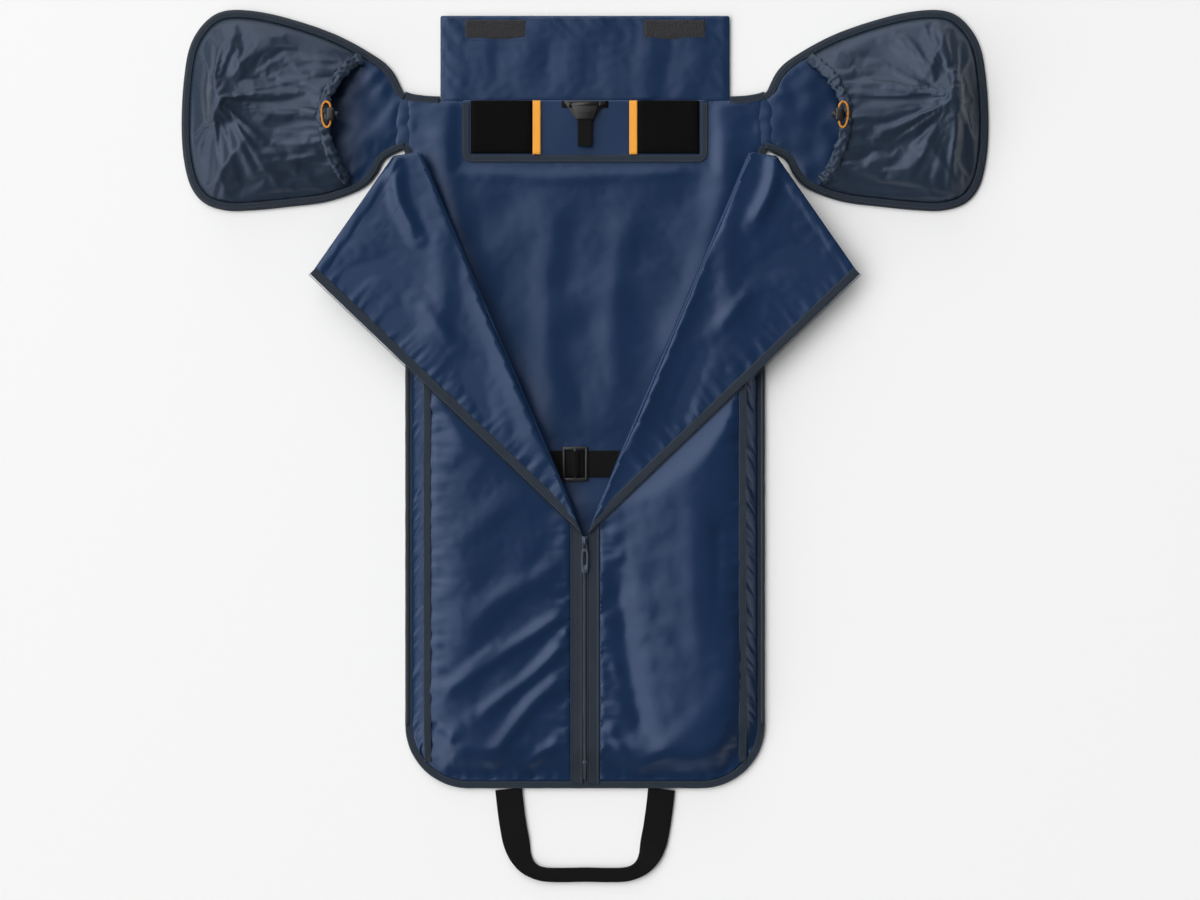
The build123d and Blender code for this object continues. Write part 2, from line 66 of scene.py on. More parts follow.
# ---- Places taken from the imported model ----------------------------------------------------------
shell_lo, shell_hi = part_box("outer_shell")
half_width, bottom_y, top_y = shell_hi[0], shell_lo[1], shell_hi[1]
lining_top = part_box("back_lining")[1][2]
panel_lo, panel_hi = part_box("front_panel_left")
tape_edge = -panel_hi[0]
front_z, front_top_y = panel_lo[2], panel_hi[1]
flap_lo, flap_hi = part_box("top_flap")
hanger_lo, hanger_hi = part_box("hanger_panel")
hook_lo, hook_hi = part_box("hook_patches")
strap_lo, strap_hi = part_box("compression_strap")
joints = {j["name"]: j for j in frame["record"]["behaviour"]["joints"]}
fold_joint = joints["lapel_left_fold"]
fold_foot = Vector(fold_joint["pos_m"])
fold_dir = Vector(fold_joint["axis"]).normalized()
fold_in = Vector((fold_dir.y, -fold_dir.x, 0))
corner_r = 90 * MM
binding_w = 11 * MM
corner_y = bottom_y + corner_r
LINING_Z = lining_top + 0.0006
ZIP_GAP_HALF = 0.0032   # from the zip's middle to each tape
HOOK_LONG = 0.087       # one patch of hook tape

# stitches, as pitch and (length, width, height)
SLATE_PITCH, SLATE_STITCH = 0.0036, (0.0024, 0.0006, 0.0006)
NAVY_PITCH, NAVY_STITCH = 0.0034, (0.0022, 0.0005, 0.0005)


def folded(x, y):
    """A point of the closed left lapel, laid over to where it lies when open."""
    arm = Vector((x, y, 0)) - Vector((fold_foot.x, fold_foot.y, 0))
    flipped = Vector((x, y, 0)) - 2 * arm.dot(fold_in) * fold_in
    return flipped.x, flipped.y


def fold_x(y):
    return fold_foot.x + (y - fold_foot.y) * fold_dir.x / fold_dir.y


def fold_y(x):
    return fold_foot.y + (x - fold_foot.x) * fold_dir.y / fold_dir.x


def ease(t):
    t = np.clip(t, 0, 1)
    return t * t * (3 - 2 * t)


def hum(x, y, size, seed=0.0):
    """Smooth noise between about -1 and 1."""
    return noise.noise(Vector((x / size, y / size, seed)))


def hum_all(points, size, seed=0.0):
    return np.array([hum(p[0], p[1], size, seed) for p in points])


# ---- Shader groups -------------------------------------------------------------------------------
def new_group(name, inputs, outputs):
    tree = bpy.data.node_groups.new(name, "ShaderNodeTree")
    for label, kind, value in inputs:
        socket = tree.interface.new_socket(label, in_out="INPUT", socket_type=kind)
        if value is not None:
            socket.default_value = value
    for label, kind in outputs:
        tree.interface.new_socket(label, in_out="OUTPUT", socket_type=kind)
    return tree, tree.nodes.new("NodeGroupInput"), tree.nodes.new("NodeGroupOutput")


def math_node(tree, operation, a, b=None, clamp=False):
    node = tree.nodes.new("ShaderNodeMath")
    node.operation = operation
    node.use_clamp = clamp
    for socket, value in zip(node.inputs, (a, b)):
        if value is None:
            continue
        if isinstance(value, (int, float)):
            socket.default_value = value
        else:
            tree.links.new(value, socket)
    return node.outputs[0]


def make_weave_group():
    """Crossed threads: Across and Along are threads to the metre, Twill slants them."""
    tree, given, out = new_group(
        "woven_threads",
        [
            ("Vector", "NodeSocketVector", None),
            ("Across", "NodeSocketFloat", 1500.0),
            ("Along", "NodeSocketFloat", 1500.0),
            ("Twill", "NodeSocketFloat", 0.0),
        ],
        [("Height", "NodeSocketFloat"), ("Shade", "NodeSocketFloat")],
    )
    parts = tree.nodes.new("ShaderNodeSeparateXYZ")
    tree.links.new(given.outputs["Vector"], parts.inputs[0])
    slanted = math_node(
        tree, "ADD", parts.outputs[0], math_node(
            tree, "MULTIPLY", parts.outputs[1], given.outputs["Twill"]
        )
    )
    warp = math_node(tree, "MULTIPLY", slanted, given.outputs["Across"])
    weft = math_node(tree, "MULTIPLY", parts.outputs[1], given.outputs["Along"])
    crests = [
        math_node(tree, "SINE", math_node(tree, "MULTIPLY", turn, 2 * pi)) for turn in (warp, weft)
    ]
    over = math_node(tree, "MULTIPLY", crests[0], crests[1])
    height = math_node(tree, "ADD", math_node(tree, "MULTIPLY", over, 0.5), 0.5, clamp=True)
    tree.links.new(height, out.inputs["Height"])
    fleck = tree.nodes.new("ShaderNodeTexNoise")
    fleck.inputs["Scale"].default_value = 900.0
    fleck.inputs["Detail"].default_value = 2.0
    tree.links.new(given.outputs["Vector"], fleck.inputs["Vector"])
    shade = math_node(
        tree, "ADD", math_node(tree, "MULTIPLY", height, 0.35), math_node(
            tree, "MULTIPLY", fleck.outputs[0], 0.65
        )
    )
    tree.links.new(shade, out.inputs["Shade"])
    return tree


def make_tone_and_sheen_group():
    """Slow changes of tone over a surface, with faint diagonal streaks of painted sheen that stand in for the satin's
    moire highlights.
    """
    tree, given, out = new_group(
        "cloth_tone_and_sheen",
        [
            ("Vector", "NodeSocketVector", None), ("Size", "NodeSocketFloat", 8.0),
            ("Streaks", "NodeSocketFloat", 0.0)
        ],
        [("Mask", "NodeSocketFloat")],
    )
    cloud = tree.nodes.new("ShaderNodeTexNoise")
    cloud.inputs["Detail"].default_value = 4.0
    tree.links.new(given.outputs["Vector"], cloud.inputs["Vector"])
    tree.links.new(given.outputs["Size"], cloud.inputs["Scale"])
    wave = tree.nodes.new("ShaderNodeTexWave")
    wave.bands_direction = "DIAGONAL"
    wave.inputs["Scale"].default_value = 130.0
    wave.inputs["Distortion"].default_value = 1.2
    tree.links.new(given.outputs["Vector"], wave.inputs["Vector"])
    # painted sheen: the diagonal wave adds streaks to the colour and roughness mask, standing in for moire lines in
    # the satin's highlights
    sheen_streak = math_node(tree, "MULTIPLY", wave.outputs[1], given.outputs["Streaks"])
    mask = math_node(tree, "ADD", cloud.outputs[0], sheen_streak, clamp=True)
    tree.links.new(mask, out.inputs["Mask"])
    return tree


weave_group = make_weave_group()
tone_and_sheen_group = make_tone_and_sheen_group()


def tone(hex_colour):
    """Linear colour from a hex colour."""
    parts = [int(hex_colour[i : i + 2], 16) / 255 for i in (0, 2, 4)]
    return [c / 12.92 if c <= 0.04045 else ((c + 0.055) / 1.055) ** 2.4 for c in parts] + [1.0]


def cloth(name, dark, light, threads=(1500, 1500), twill=0.0, rough=0.5, bump=0.25, sheen=0.0,
          specular=0.5, sheen_streaks=0.0, size=9.0, own_uv=True, metallic=0.0, depth=0.0002, glint="ffffff"):
    """A woven, moulded or brushed surface between two tones."""
    mat = bpy.data.materials.new(name)
    mat.use_nodes = True
    tree = mat.node_tree
    shader = tree.nodes["Principled BSDF"]
    place = tree.nodes.new("ShaderNodeTexCoord").outputs["UV" if own_uv else "Object"]
    weave = tree.nodes.new("ShaderNodeGroup")
    weave.node_tree = weave_group
    weave.inputs["Across"].default_value = threads[0]
    weave.inputs["Along"].default_value = threads[1]
    weave.inputs["Twill"].default_value = twill
    tone_and_sheen = tree.nodes.new("ShaderNodeGroup")
    tone_and_sheen.node_tree = tone_and_sheen_group
    tone_and_sheen.inputs["Size"].default_value = size
    tone_and_sheen.inputs["Streaks"].default_value = sheen_streaks
    for node in (weave, tone_and_sheen):
        tree.links.new(place, node.inputs["Vector"])
    share = math_node(
        tree, "ADD",
        math_node(tree, "MULTIPLY", weave.outputs["Shade"], 0.5),
        math_node(tree, "MULTIPLY", tone_and_sheen.outputs["Mask"], 0.5),
        clamp=True,
    )
    blend = tree.nodes.new("ShaderNodeMix")
    blend.data_type = "RGBA"
    blend.inputs["A"].default_value = tone(dark)
    blend.inputs["B"].default_value = tone(light)
    tree.links.new(share, blend.inputs["Factor"])
    tree.links.new(blend.outputs["Result"], shader.inputs["Base Color"])
    low = max(rough - 0.06, 0.05)
    tree.links.new(
        math_node(tree, "ADD", math_node(tree, "MULTIPLY", tone_and_sheen.outputs["Mask"], 0.12), low),
        shader.inputs["Roughness"],
    )
    bumps = tree.nodes.new("ShaderNodeBump")
    bumps.inputs["Strength"].default_value = bump
    bumps.inputs["Distance"].default_value = depth
    tree.links.new(weave.outputs["Height"], bumps.inputs["Height"])
    tree.links.new(bumps.outputs[0], shader.inputs["Normal"])
    shader.inputs["Specular IOR Level"].default_value = specular
    shader.inputs["Metallic"].default_value = metallic
    shader.inputs["Sheen Weight"].default_value = sheen
    shader.inputs["Sheen Roughness"].default_value = 0.4
    shader.inputs["Specular Tint"].default_value = tone(glint)
    return mat


def make_materials():
    return {
        # the navy satin's streaks (0.10) are painted sheen, the moire lines of its highlights
        "navy": cloth(
            "navy_satin", "0d1f3b", "193253", (1900, 1900), 1.0, 0.23, 0.12, 0.0, 0.47, 0.10, 7.0,
            glint="ccdcff"
        ),
        "slate": cloth("slate_grosgrain", "171f29", "25303d", (1100, 500), 0.0, 0.72, 0.6, 0.15, 0.3),
        "pouch": cloth(
            "pouch_nylon", "1b2532", "2a3747", (1700, 1700), 0.0, 0.31, 0.15, 0.0, 0.45, glint="d4e2ff"
        ),
        "shell": cloth("shell_cloth", "1c2530", "2a3543", (700, 700), 0.0, 0.62, 0.5, 0.1, 0.4),
        "webbing": cloth("black_webbing", "020203", "08080a", (520, 260), 1.0, 0.75, 0.8, 0.02, 0.16),
        "elastic": cloth("black_elastic", "010101", "050506", (900, 420), 0.0, 0.85, 0.7, 0.0, 0.12),
        "amber": cloth("amber_tape", "e8952a", "fbb64c", (900, 700), 0.0, 0.7, 0.5, 0.1, 0.3),
        "cord": cloth(
            "orange_cord", "d97c1c", "fbb24a", (420, 420), 1.0, 0.7, 0.9, 0.1, 0.3, depth=0.0004
        ),
        "hooks": cloth(
            "hook_fleece", "232325", "3f3f42", (620, 620), 0.0, 0.9, 1.0, 0.3, 0.2, depth=0.0006
        ),
        "plastic": cloth(
            "moulded_black", "0b0b0c", "171719", (300, 300), 0.0, 0.36, 0.08, 0, 0.5, own_uv=False
        ),
        "coil": cloth(
            "zip_coil_nylon", "141c26", "273341", (300, 300), 0.0, 0.4, 0.1, 0, 0.5, own_uv=False
        ),
        "pull": cloth(
            "pull_rubber", "2a3543", "3a4858", (300, 300), 0.0, 0.5, 0.1, 0, 0.4, own_uv=False
        ),
        "metal": cloth(
            "dark_lacquered_metal", "2a333f", "4a5667", (300, 300), 0.0, 0.3, 0.05, 0, 0.5,
            own_uv=False, metallic=0.6,
        ),
        "thread": cloth(
            "slate_thread", "3b4a5c", "54647a", (4000, 4000), 1.0, 0.6, 0.4, 0.1, 0.3, own_uv=False
        ),
        "navy_thread": cloth(
            "navy_thread", "0b1b38", "1d3358", (4000, 4000), 1.0, 0.6, 0.4, 0.1, 0.3, own_uv=False
        ),
    }


# ---- Mesh makers ---------------------------------------------------------------------------------
def make_piece(name, verts, faces, material, body, uv=None, smooth=True):
    mesh = bpy.data.meshes.new(name)
    mesh.from_pydata([tuple(map(float, v)) for v in verts], [], [tuple(map(int, f)) for f in faces])
    if uv is not None:
        layer = mesh.uv_layers.new(name="cut")
        corner = np.empty(len(mesh.loops), dtype=np.int64)
        mesh.loops.foreach_get("vertex_index", corner)
        layer.data.foreach_set("uv", np.asarray(uv, dtype=np.float32)[corner].ravel())
    mesh.materials.append(material)
    piece = bpy.data.objects.new(name, mesh)
    bpy.context.collection.objects.link(piece)
    if smooth:
        mesh.shade_smooth()
    if body:
        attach(piece, body)
    return piece


def thicken(piece, thick, levels=0):
    """Give a sheet its thickness inwards, and round it first where asked."""
    if levels:
        rounder = piece.modifiers.new("rounder", "SUBSURF")
        rounder.levels = rounder.render_levels = levels
        rounder.boundary_smooth = "PRESERVE_CORNERS"
    wall = piece.modifiers.new("wall", "SOLIDIFY")
    wall.thickness = thick
    wall.offset = -1.0
    wall.use_even_offset = False
    return piece


def arc(cx, cy, r, start, stop, steps=9):
    """Points of an arc, angles in degrees."""
    return [
        (cx + r * cos(radians(a)), cy + r * sin(radians(a))) for a in np.linspace(start, stop, steps)
    ]


def evenly(points, gap, closed=False):
    """The same line with its points about gap apart."""
    line = [np.array(p, float) for p in points]
    if closed:
        line.append(line[0])
    out = []
    for a, b in zip(line, line[1:]):
        steps = max(1, round(np.linalg.norm(b - a) / gap))
        out += [a + (b - a) * k / steps for k in range(steps)]
    if not closed:
        out.append(line[-1])
    return np.array(out)


def smooth_line(points, gap):
    """A flowing line through the points, its points gap apart."""
    line = [np.array(p, float) for p in points]
    ends = [2 * line[0] - line[1]] + line + [2 * line[-1] - line[-2]]
    fine = []
    for p0, p1, p2, p3 in zip(ends, ends[1:], ends[2:], ends[3:]):
        steps = max(2, int(np.linalg.norm(p2 - p1) / gap))
        for t in np.arange(steps) / steps:
            fine.append(
                0.5 * (2 * p1 + (p2 - p0) * t + (2 * p0 - 5 * p1 + 4 * p2 - p3) * t * t
                       + (3 * p1 - p0 - 3 * p2 + p3) * t**3)
            )
    fine.append(line[-1])
    return np.array(fine)


def within(points, outline):
    """Which points lie inside a closed outline."""
    x, y = points[:, 0], points[:, 1]
    hit = np.zeros(len(points), bool)
    for a, b in zip(outline, np.roll(outline, -1, axis=0)):
        crosses = (a[1] > y) != (b[1] > y)
        with np.errstate(divide="ignore", invalid="ignore"):
            at = (b[0] - a[0]) * (y - a[1]) / (b[1] - a[1]) + a[0]
        hit ^= crosses & (x < at)
    return hit


def from_line(points, line, closed=True):
    """Distance of each point from a line."""
    ends = np.roll(line, -1, axis=0) if closed else line[1:]
    starts = line if closed else line[:-1]
    best = np.full(len(points), 1e9)
    flat = points[:, :2]
    for a, b in zip(starts[:, :2], ends[:, :2]):
        run = b - a
        share = np.clip(((flat - a) @ run) / max(run @ run, 1e-12), 0, 1)
        best = np.minimum(best, np.linalg.norm(flat - a - share[:, None] * run, axis=1))
    return best


def cut_cloth(outline, gap):
    """A flat cut of cloth as a fine net of triangles. Returns points and faces."""
    rim = evenly(outline, gap, closed=True)
    low, high = rim.min(axis=0), rim.max(axis=0)
    rows = np.arange(low[1], high[1], gap * 0.866)
    spots = []
    for k, y in enumerate(rows):
        shift = gap / 2 if k % 2 else 0
        spots += [(x, y) for x in np.arange(low[0] + shift, high[0], gap)]
    spots = np.array(spots)
    spots = spots[within(spots, rim)]
    spots = spots[from_line(spots, rim) > gap * 0.6]
    every = [Vector(p) for p in np.vstack([rim, spots])]
    edges = [(k, (k + 1) % len(rim)) for k in range(len(rim))]
    points, _, faces, *_ = delaunay_2d_cdt(every, edges, [], 1, 1e-7)
    return np.array([tuple(p) for p in points]), faces


def grid(rows, cols, closed=False):
    """Faces of a net of rows by cols points; closed joins the last column to the first."""
    faces = []
    for r in range(rows - 1):
        for c in range(cols if closed else cols - 1):
            d = (c + 1) % cols
            faces.append((r * cols + c, r * cols + d, (r + 1) * cols + d, (r + 1) * cols + c))
    return faces


def bar_section(width, thick, power=4.0, steps=18):
    """A flat bar's rounded section, as (across, up)."""
    out = []
    for k in range(steps):
        a = 2 * pi * k / steps
        c, s = cos(a), sin(a)
        out.append(
            (width / 2 * abs(c) ** (2 / power) * (1 if c >= 0 else -1),
             thick / 2 * abs(s) ** (2 / power) * (1 if s >= 0 else -1))
        )
    return out


def sweep(name, line, section, material, body, ruffle=None):
    """Carry a section along an open line that lies about flat.

    ruffle(k, along, across, up) moves each point of the section at the line's point k.
    """
    line = np.asarray(line, float)
    n, m = len(line), len(section)
    ahead = np.vstack([line[1:], 2 * line[-1] - line[-2]])
    behind = np.vstack([2 * line[0] - line[1], line[:-1]])
    run = ahead - behind
    run /= np.linalg.norm(run, axis=1)[:, None]
    side = np.cross(run, (0, 0, 1.0))
    side /= np.linalg.norm(side, axis=1)[:, None]
    up = np.cross(side, run)
    lengths = np.concatenate([[0], np.cumsum(np.linalg.norm(np.diff(line, axis=0), axis=1))])
    sides = [hypot(b[0] - a[0], b[1] - a[1]) for a, b in zip(section, section[1:])]
    girth = np.concatenate([[0], np.cumsum(sides)])
    verts, uv = [], []
    for k in range(n):
        for j, (a, b) in enumerate(section):
            if ruffle:
                a, b = ruffle(k, lengths[k], a, b)
            verts.append(line[k] + side[k] * a + up[k] * b)
            uv.append((lengths[k], girth[j]))
    faces = [f[::-1] for f in grid(n, m, closed=True)]
    faces += [tuple(range(m)), tuple((n - 1) * m + j for j in range(m))[::-1]]
    piece = make_piece(name, verts, faces, material, body, uv)
    outward(piece)
    return piece


def outward(piece):
    """Turn a closed piece's faces outwards."""
    work = bmesh.new()
    work.from_mesh(piece.data)
    bmesh.ops.recalc_face_normals(work, faces=work.faces)
    work.to_mesh(piece.data)
    work.free()


def hard_box(name, low, high, material, body, bevel=0.0006, segments=3, taper=None):
    """A moulded block between two corners, with its edges rounded."""
    work = bmesh.new()
    bmesh.ops.create_cube(work, size=1.0)
    low, high = Vector(low), Vector(high)
    for v in work.verts:
        v.co = Vector(low[i] + (v.co[i] + 0.5) * (high[i] - low[i]) for i in range(3))
        if taper:
            v.co = Vector(taper(*v.co))
    bmesh.ops.bevel(work, geom=work.edges, offset=bevel, segments=segments, profile=0.5, affect="EDGES")
    mesh = bpy.data.meshes.new(name)
    work.to_mesh(mesh)
    work.free()
    return dress(name, mesh, material, body)


def dress(name, mesh, material, body):
    """A finished mesh as a piece in one material on one body."""
    mesh.materials.clear()
    mesh.materials.append(material)
    mesh.shade_smooth()
    piece = bpy.data.objects.new(name, mesh)
    bpy.context.collection.objects.link(piece)
    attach(piece, body)
    return piece


def turned(name, centre, axis, profile, material, body):
    """A body of revolution: profile is (along, radius) from one end to the other."""
    steps = 32
    axis = Vector(axis).normalized()
    first = axis.orthogonal().normalized()
    second = axis.cross(first)
    verts = [
        Vector(centre) + axis * along
        + first * (r * cos(2 * pi * k / steps)) + second * (r * sin(2 * pi * k / steps))
        for along, r in profile
        for k in range(steps)
    ]
    rows = len(profile)
    faces = grid(rows, steps, closed=True)
    faces += [tuple(range(steps)), tuple((rows - 1) * steps + k for k in reversed(range(steps)))]
    piece = make_piece(name, verts, faces, material, body)
    outward(piece)
    return piece


def joined(pieces):
    """Join pieces of one body and one material into the first."""
    with bpy.context.temp_override(
        active_object=pieces[0], selected_editable_objects=pieces, object=pieces[0], selected_objects=pieces
    ):
        bpy.ops.object.join()
    return pieces[0]


# ---- Rows of stitches and teeth ------------------------------------------------------------------
def make_row_tree(name, block):
    """Set out stitches, or square teeth, at a pitch along lines."""
    tree = bpy.data.node_groups.new(name, "GeometryNodeTree")
    tree.interface.new_socket("Geometry", in_out="INPUT", socket_type="NodeSocketGeometry")
    sockets = {}
    for label, kind in (
        ("Pitch", "NodeSocketFloat"), ("Size", "NodeSocketVector"), ("Finish", "NodeSocketMaterial"),
    ):
        sockets[label] = tree.interface.new_socket(label, in_out="INPUT", socket_type=kind).identifier
    tree.interface.new_socket("Geometry", in_out="OUTPUT", socket_type="NodeSocketGeometry")
    given, out = tree.nodes.new("NodeGroupInput"), tree.nodes.new("NodeGroupOutput")
    curve = tree.nodes.new("GeometryNodeMeshToCurve")
    spaced = tree.nodes.new("GeometryNodeResampleCurve")
    spaced.mode = "LENGTH"
    place = tree.nodes.new("GeometryNodeInstanceOnPoints")
    turn = tree.nodes.new("FunctionNodeAlignRotationToVector")
    turn.axis = "X"
    tangent = tree.nodes.new("GeometryNodeInputTangent")
    if block:
        shape = tree.nodes.new("GeometryNodeMeshCube")
    else:
        shape = tree.nodes.new("GeometryNodeMeshUVSphere")
        shape.inputs["Segments"].default_value = 6
        shape.inputs["Rings"].default_value = 5
        shape.inputs["Radius"].default_value = 0.5
    sized = tree.nodes.new("GeometryNodeTransform")
    realize = tree.nodes.new("GeometryNodeRealizeInstances")
    finish = tree.nodes.new("GeometryNodeSetMaterial")
    link = tree.links.new
    link(given.outputs["Geometry"], curve.inputs["Mesh"])
    link(curve.outputs[0], spaced.inputs["Curve"])
    link(given.outputs["Pitch"], spaced.inputs["Length"])
    link(spaced.outputs[0], place.inputs["Points"])
    link(shape.outputs[0], sized.inputs["Geometry"])
    link(given.outputs["Size"], sized.inputs["Scale"])
    link(sized.outputs[0], place.inputs["Instance"])
    link(tangent.outputs[0], turn.inputs["Vector"])
    link(turn.outputs[0], place.inputs["Rotation"])
    link(place.outputs[0], realize.inputs[0])
    link(realize.outputs[0], finish.inputs["Geometry"])
    link(given.outputs["Finish"], finish.inputs["Material"])
    link(finish.outputs[0], out.inputs["Geometry"])
    return tree, sockets


row_trees = {"stitch": make_row_tree("stitch_rows", False), "tooth": make_row_tree("tooth_rows", True)}


def rows_along(name, lines, kind, pitch, size, material, body):
    """Stitches or teeth along every line, as one plain mesh on one body."""
    tree, sockets = row_trees[kind]
    verts, edges = [], []
    for line in lines:
        start = len(verts)
        verts += [tuple(map(float, p)) for p in line]
        edges += [(start + k, start + k + 1) for k in range(len(line) - 1)]
    mesh = bpy.data.meshes.new(name + "_lines")
    mesh.from_pydata(verts, edges, [])
    guide = bpy.data.objects.new(name + "_lines", mesh)
    bpy.context.collection.objects.link(guide)
    setter = guide.modifiers.new("rows", "NODES")
    setter.node_group = tree
    setter[sockets["Pitch"]] = pitch
    setter[sockets["Size"]] = size
    setter[sockets["Finish"]] = material
    done = guide.evaluated_get(bpy.context.evaluated_depsgraph_get())
    result = bpy.data.meshes.new_from_object(done)
    bpy.data.objects.remove(guide)
    return dress(name, result, material, body)


def beside(line, across, up=0.0):
    """A line moved sideways and upwards."""
    line = np.asarray(line, float)
    run = np.gradient(line, axis=0)
    side = np.cross(run, (0, 0, 1.0))
    side /= np.linalg.norm(side, axis=1)[:, None]
    return line + side * across + np.array((0, 0, up))


# ---- Cloth simulation ----------------------------------------------------------------------------
waiting = []
CLOTH_MASS, CLOTH_STIFFNESS, AIR_DRAG = 0.15, 15.0, 1.0
CLOTH_FRAMES = 22


def settle_later(name, points, faces, cut, pinned, bend, gravity=0.0):
    """Queue a loose cloth; run_cloth() gives the points where it comes to rest."""
    waiting.append(
        dict(name=name, points=points, faces=faces, cut=cut, pinned=pinned, bend=bend, gravity=gravity)
    )


def run_cloth(frames):
    """Settle every waiting cloth at once."""
    scene = bpy.context.scene
    for job in waiting:
        mesh = bpy.data.meshes.new(job["name"] + "_loose")
        mesh.from_pydata([tuple(map(float, p)) for p in job["points"]], [], job["faces"])
        loose = bpy.data.objects.new(job["name"] + "_loose", mesh)
        bpy.context.collection.objects.link(loose)
        loose.shape_key_add(name="Basis")
        pattern = loose.shape_key_add(name="pattern")
        pattern.data.foreach_set("co", np.asarray(job["cut"], np.float32).ravel())
        held = loose.vertex_groups.new(name="held")
        held.add([int(k) for k in job["pinned"]], 1.0, "REPLACE")
        cloth_mod = loose.modifiers.new("cloth", "CLOTH")
        facts = cloth_mod.settings
        facts.rest_shape_key = pattern
        facts.vertex_group_mass = "held"
        facts.quality = 6
        facts.mass = CLOTH_MASS
        facts.air_damping = AIR_DRAG
        facts.tension_stiffness = facts.compression_stiffness = CLOTH_STIFFNESS
        facts.shear_stiffness = CLOTH_STIFFNESS / 2
        facts.bending_stiffness = job["bend"]
        facts.effector_weights.gravity = job["gravity"]
        cloth_mod.collision_settings.use_collision = False
        cloth_mod.collision_settings.use_self_collision = False
        cloth_mod.point_cache.frame_start = 1
        cloth_mod.point_cache.frame_end = frames
        job["object"] = loose
    scene.frame_start, scene.frame_end = 1, frames
    for step in range(1, frames + 1):
        scene.frame_set(step)
    rested = {}
    graph = bpy.context.evaluated_depsgraph_get()
    for job in waiting:
        shape = job["object"].evaluated_get(graph).to_mesh()
        out = np.empty(len(shape.vertices) * 3, np.float32)
        shape.vertices.foreach_get("co", out)
        rested[job["name"]] = out.reshape(-1, 3).astype(float)
        job["object"].evaluated_get(graph).to_mesh_clear()
        bpy.data.objects.remove(job["object"])
    waiting.clear()
    scene.frame_set(1)
    return rested


def kept_near(points, base, most_up, most_down):
    """Let folds rise and sink from the base surface only so far, easing into the limit."""
    rise = points[:, 2] - base
    up = most_up * np.tanh(np.maximum(rise, 0) / most_up)
    down = most_down * np.tanh(np.minimum(rise, 0) / most_down)
    out = points.copy()
    out[:, 2] = base + up + down
    return out


# ---- Sky, camera, floor and light ----------------------------------------------------------------
KEY_POWER = 52.0
SKY_LOW, SKY_HIGH, SKY_SEEN = 0.15, 2.25, 0.92   # strength on the dim side, the bright side, and to the eye
SKY_SIDE = (-0.93, 0.36, 0.0)                    # towards the bright side


def make_sky():
    """A dim studio with one broad bright side, upper left, ending near the zenith."""
    world = bpy.data.worlds.new("studio")
    bpy.context.scene.world = world
    world.use_nodes = True
    tree = world.node_tree
    look = tree.nodes.new("ShaderNodeTexCoord").outputs["Generated"]
    across = tree.nodes.new("ShaderNodeVectorMath")
    across.operation = "DOT_PRODUCT"
    across.inputs[1].default_value = SKY_SIDE
    tree.links.new(look, across.inputs[0])
    edges = []
    for low, high in ((0.07, 0.21), (0.95, 0.70)):
        ramp = tree.nodes.new("ShaderNodeMapRange")
        ramp.interpolation_type = "SMOOTHSTEP"
        ramp.inputs["From Min"].default_value = min(low, high)
        ramp.inputs["From Max"].default_value = max(low, high)
        ramp.inputs["To Min"].default_value = 0.0 if low < high else 1.0
        ramp.inputs["To Max"].default_value = 1.0 if low < high else 0.0
        tree.links.new(across.outputs["Value"], ramp.inputs["Value"])
        edges.append(ramp.outputs["Result"])
    zone = math_node(tree, "MULTIPLY", *edges)
    glow = math_node(tree, "ADD", math_node(tree, "MULTIPLY", zone, SKY_HIGH - SKY_LOW), SKY_LOW)
    seen = tree.nodes.new("ShaderNodeLightPath").outputs["Is Camera Ray"]
    plain = math_node(tree, "MULTIPLY", seen, SKY_SEEN)
    lit = math_node(tree, "MULTIPLY", glow, math_node(tree, "SUBTRACT", 1.0, seen))
    tree.links.new(math_node(tree, "ADD", plain, lit), tree.nodes["Background"].inputs["Strength"])
    tree.nodes["Background"].inputs["Color"].default_value = (1, 1, 1, 1)


def make_stage():
    camera = bpy.data.objects.new("camera", bpy.data.cameras.new("camera"))
    camera.data.lens = 85.0
    camera.data.sensor_width = 36.0
    view_wide = 1.704
    height = view_wide * camera.data.lens / camera.data.sensor_width
    camera.location = (0.0213, -0.0071, height)
    camera.data.clip_end = 30
    bpy.context.collection.objects.link(camera)
    bpy.context.scene.camera = camera

    floor_mesh = bpy.data.meshes.new("floor")
    reach = 6.0
    floor_mesh.from_pydata(
        [
            (-reach, -reach, 0), (reach, -reach, 0), (reach, reach, 0), (-reach, reach, 0)
        ], [], [(0, 1, 2, 3)]
    )
    floor = bpy.data.objects.new("floor", floor_mesh)
    floor.location.z = -0.0004
    bpy.context.collection.objects.link(floor)
    paper = bpy.data.materials.new("paper_floor")
    paper.use_nodes = True
    shader = paper.node_tree.nodes["Principled BSDF"]
    shader.inputs["Base Color"].default_value = (0.9, 0.9, 0.9, 1)
    shader.inputs["Roughness"].default_value = 0.9
    shader.inputs["Specular IOR Level"].default_value = 0.1
    floor_mesh.materials.append(paper)

    make_sky()

    def softbox(name, place, size, power, colour=(1, 1, 1)):
        lamp = bpy.data.lights.new(name, "AREA")
        lamp.shape = "RECTANGLE"
        lamp.size, lamp.size_y = size
        lamp.energy = power
        lamp.color = colour
        box = bpy.data.objects.new(name, lamp)
        box.location = place
        box.rotation_euler = (Vector((0, 0, 0)) - Vector(place)).to_track_quat("-Z", "Y").to_euler()
        bpy.context.collection.objects.link(box)

    softbox("key_softbox", (-3.6, 1.9, 4.2), (3.6, 3.6), KEY_POWER)
    bpy.context.scene.view_settings.view_transform = "Standard"


make_stage()
finish_of = make_materials()

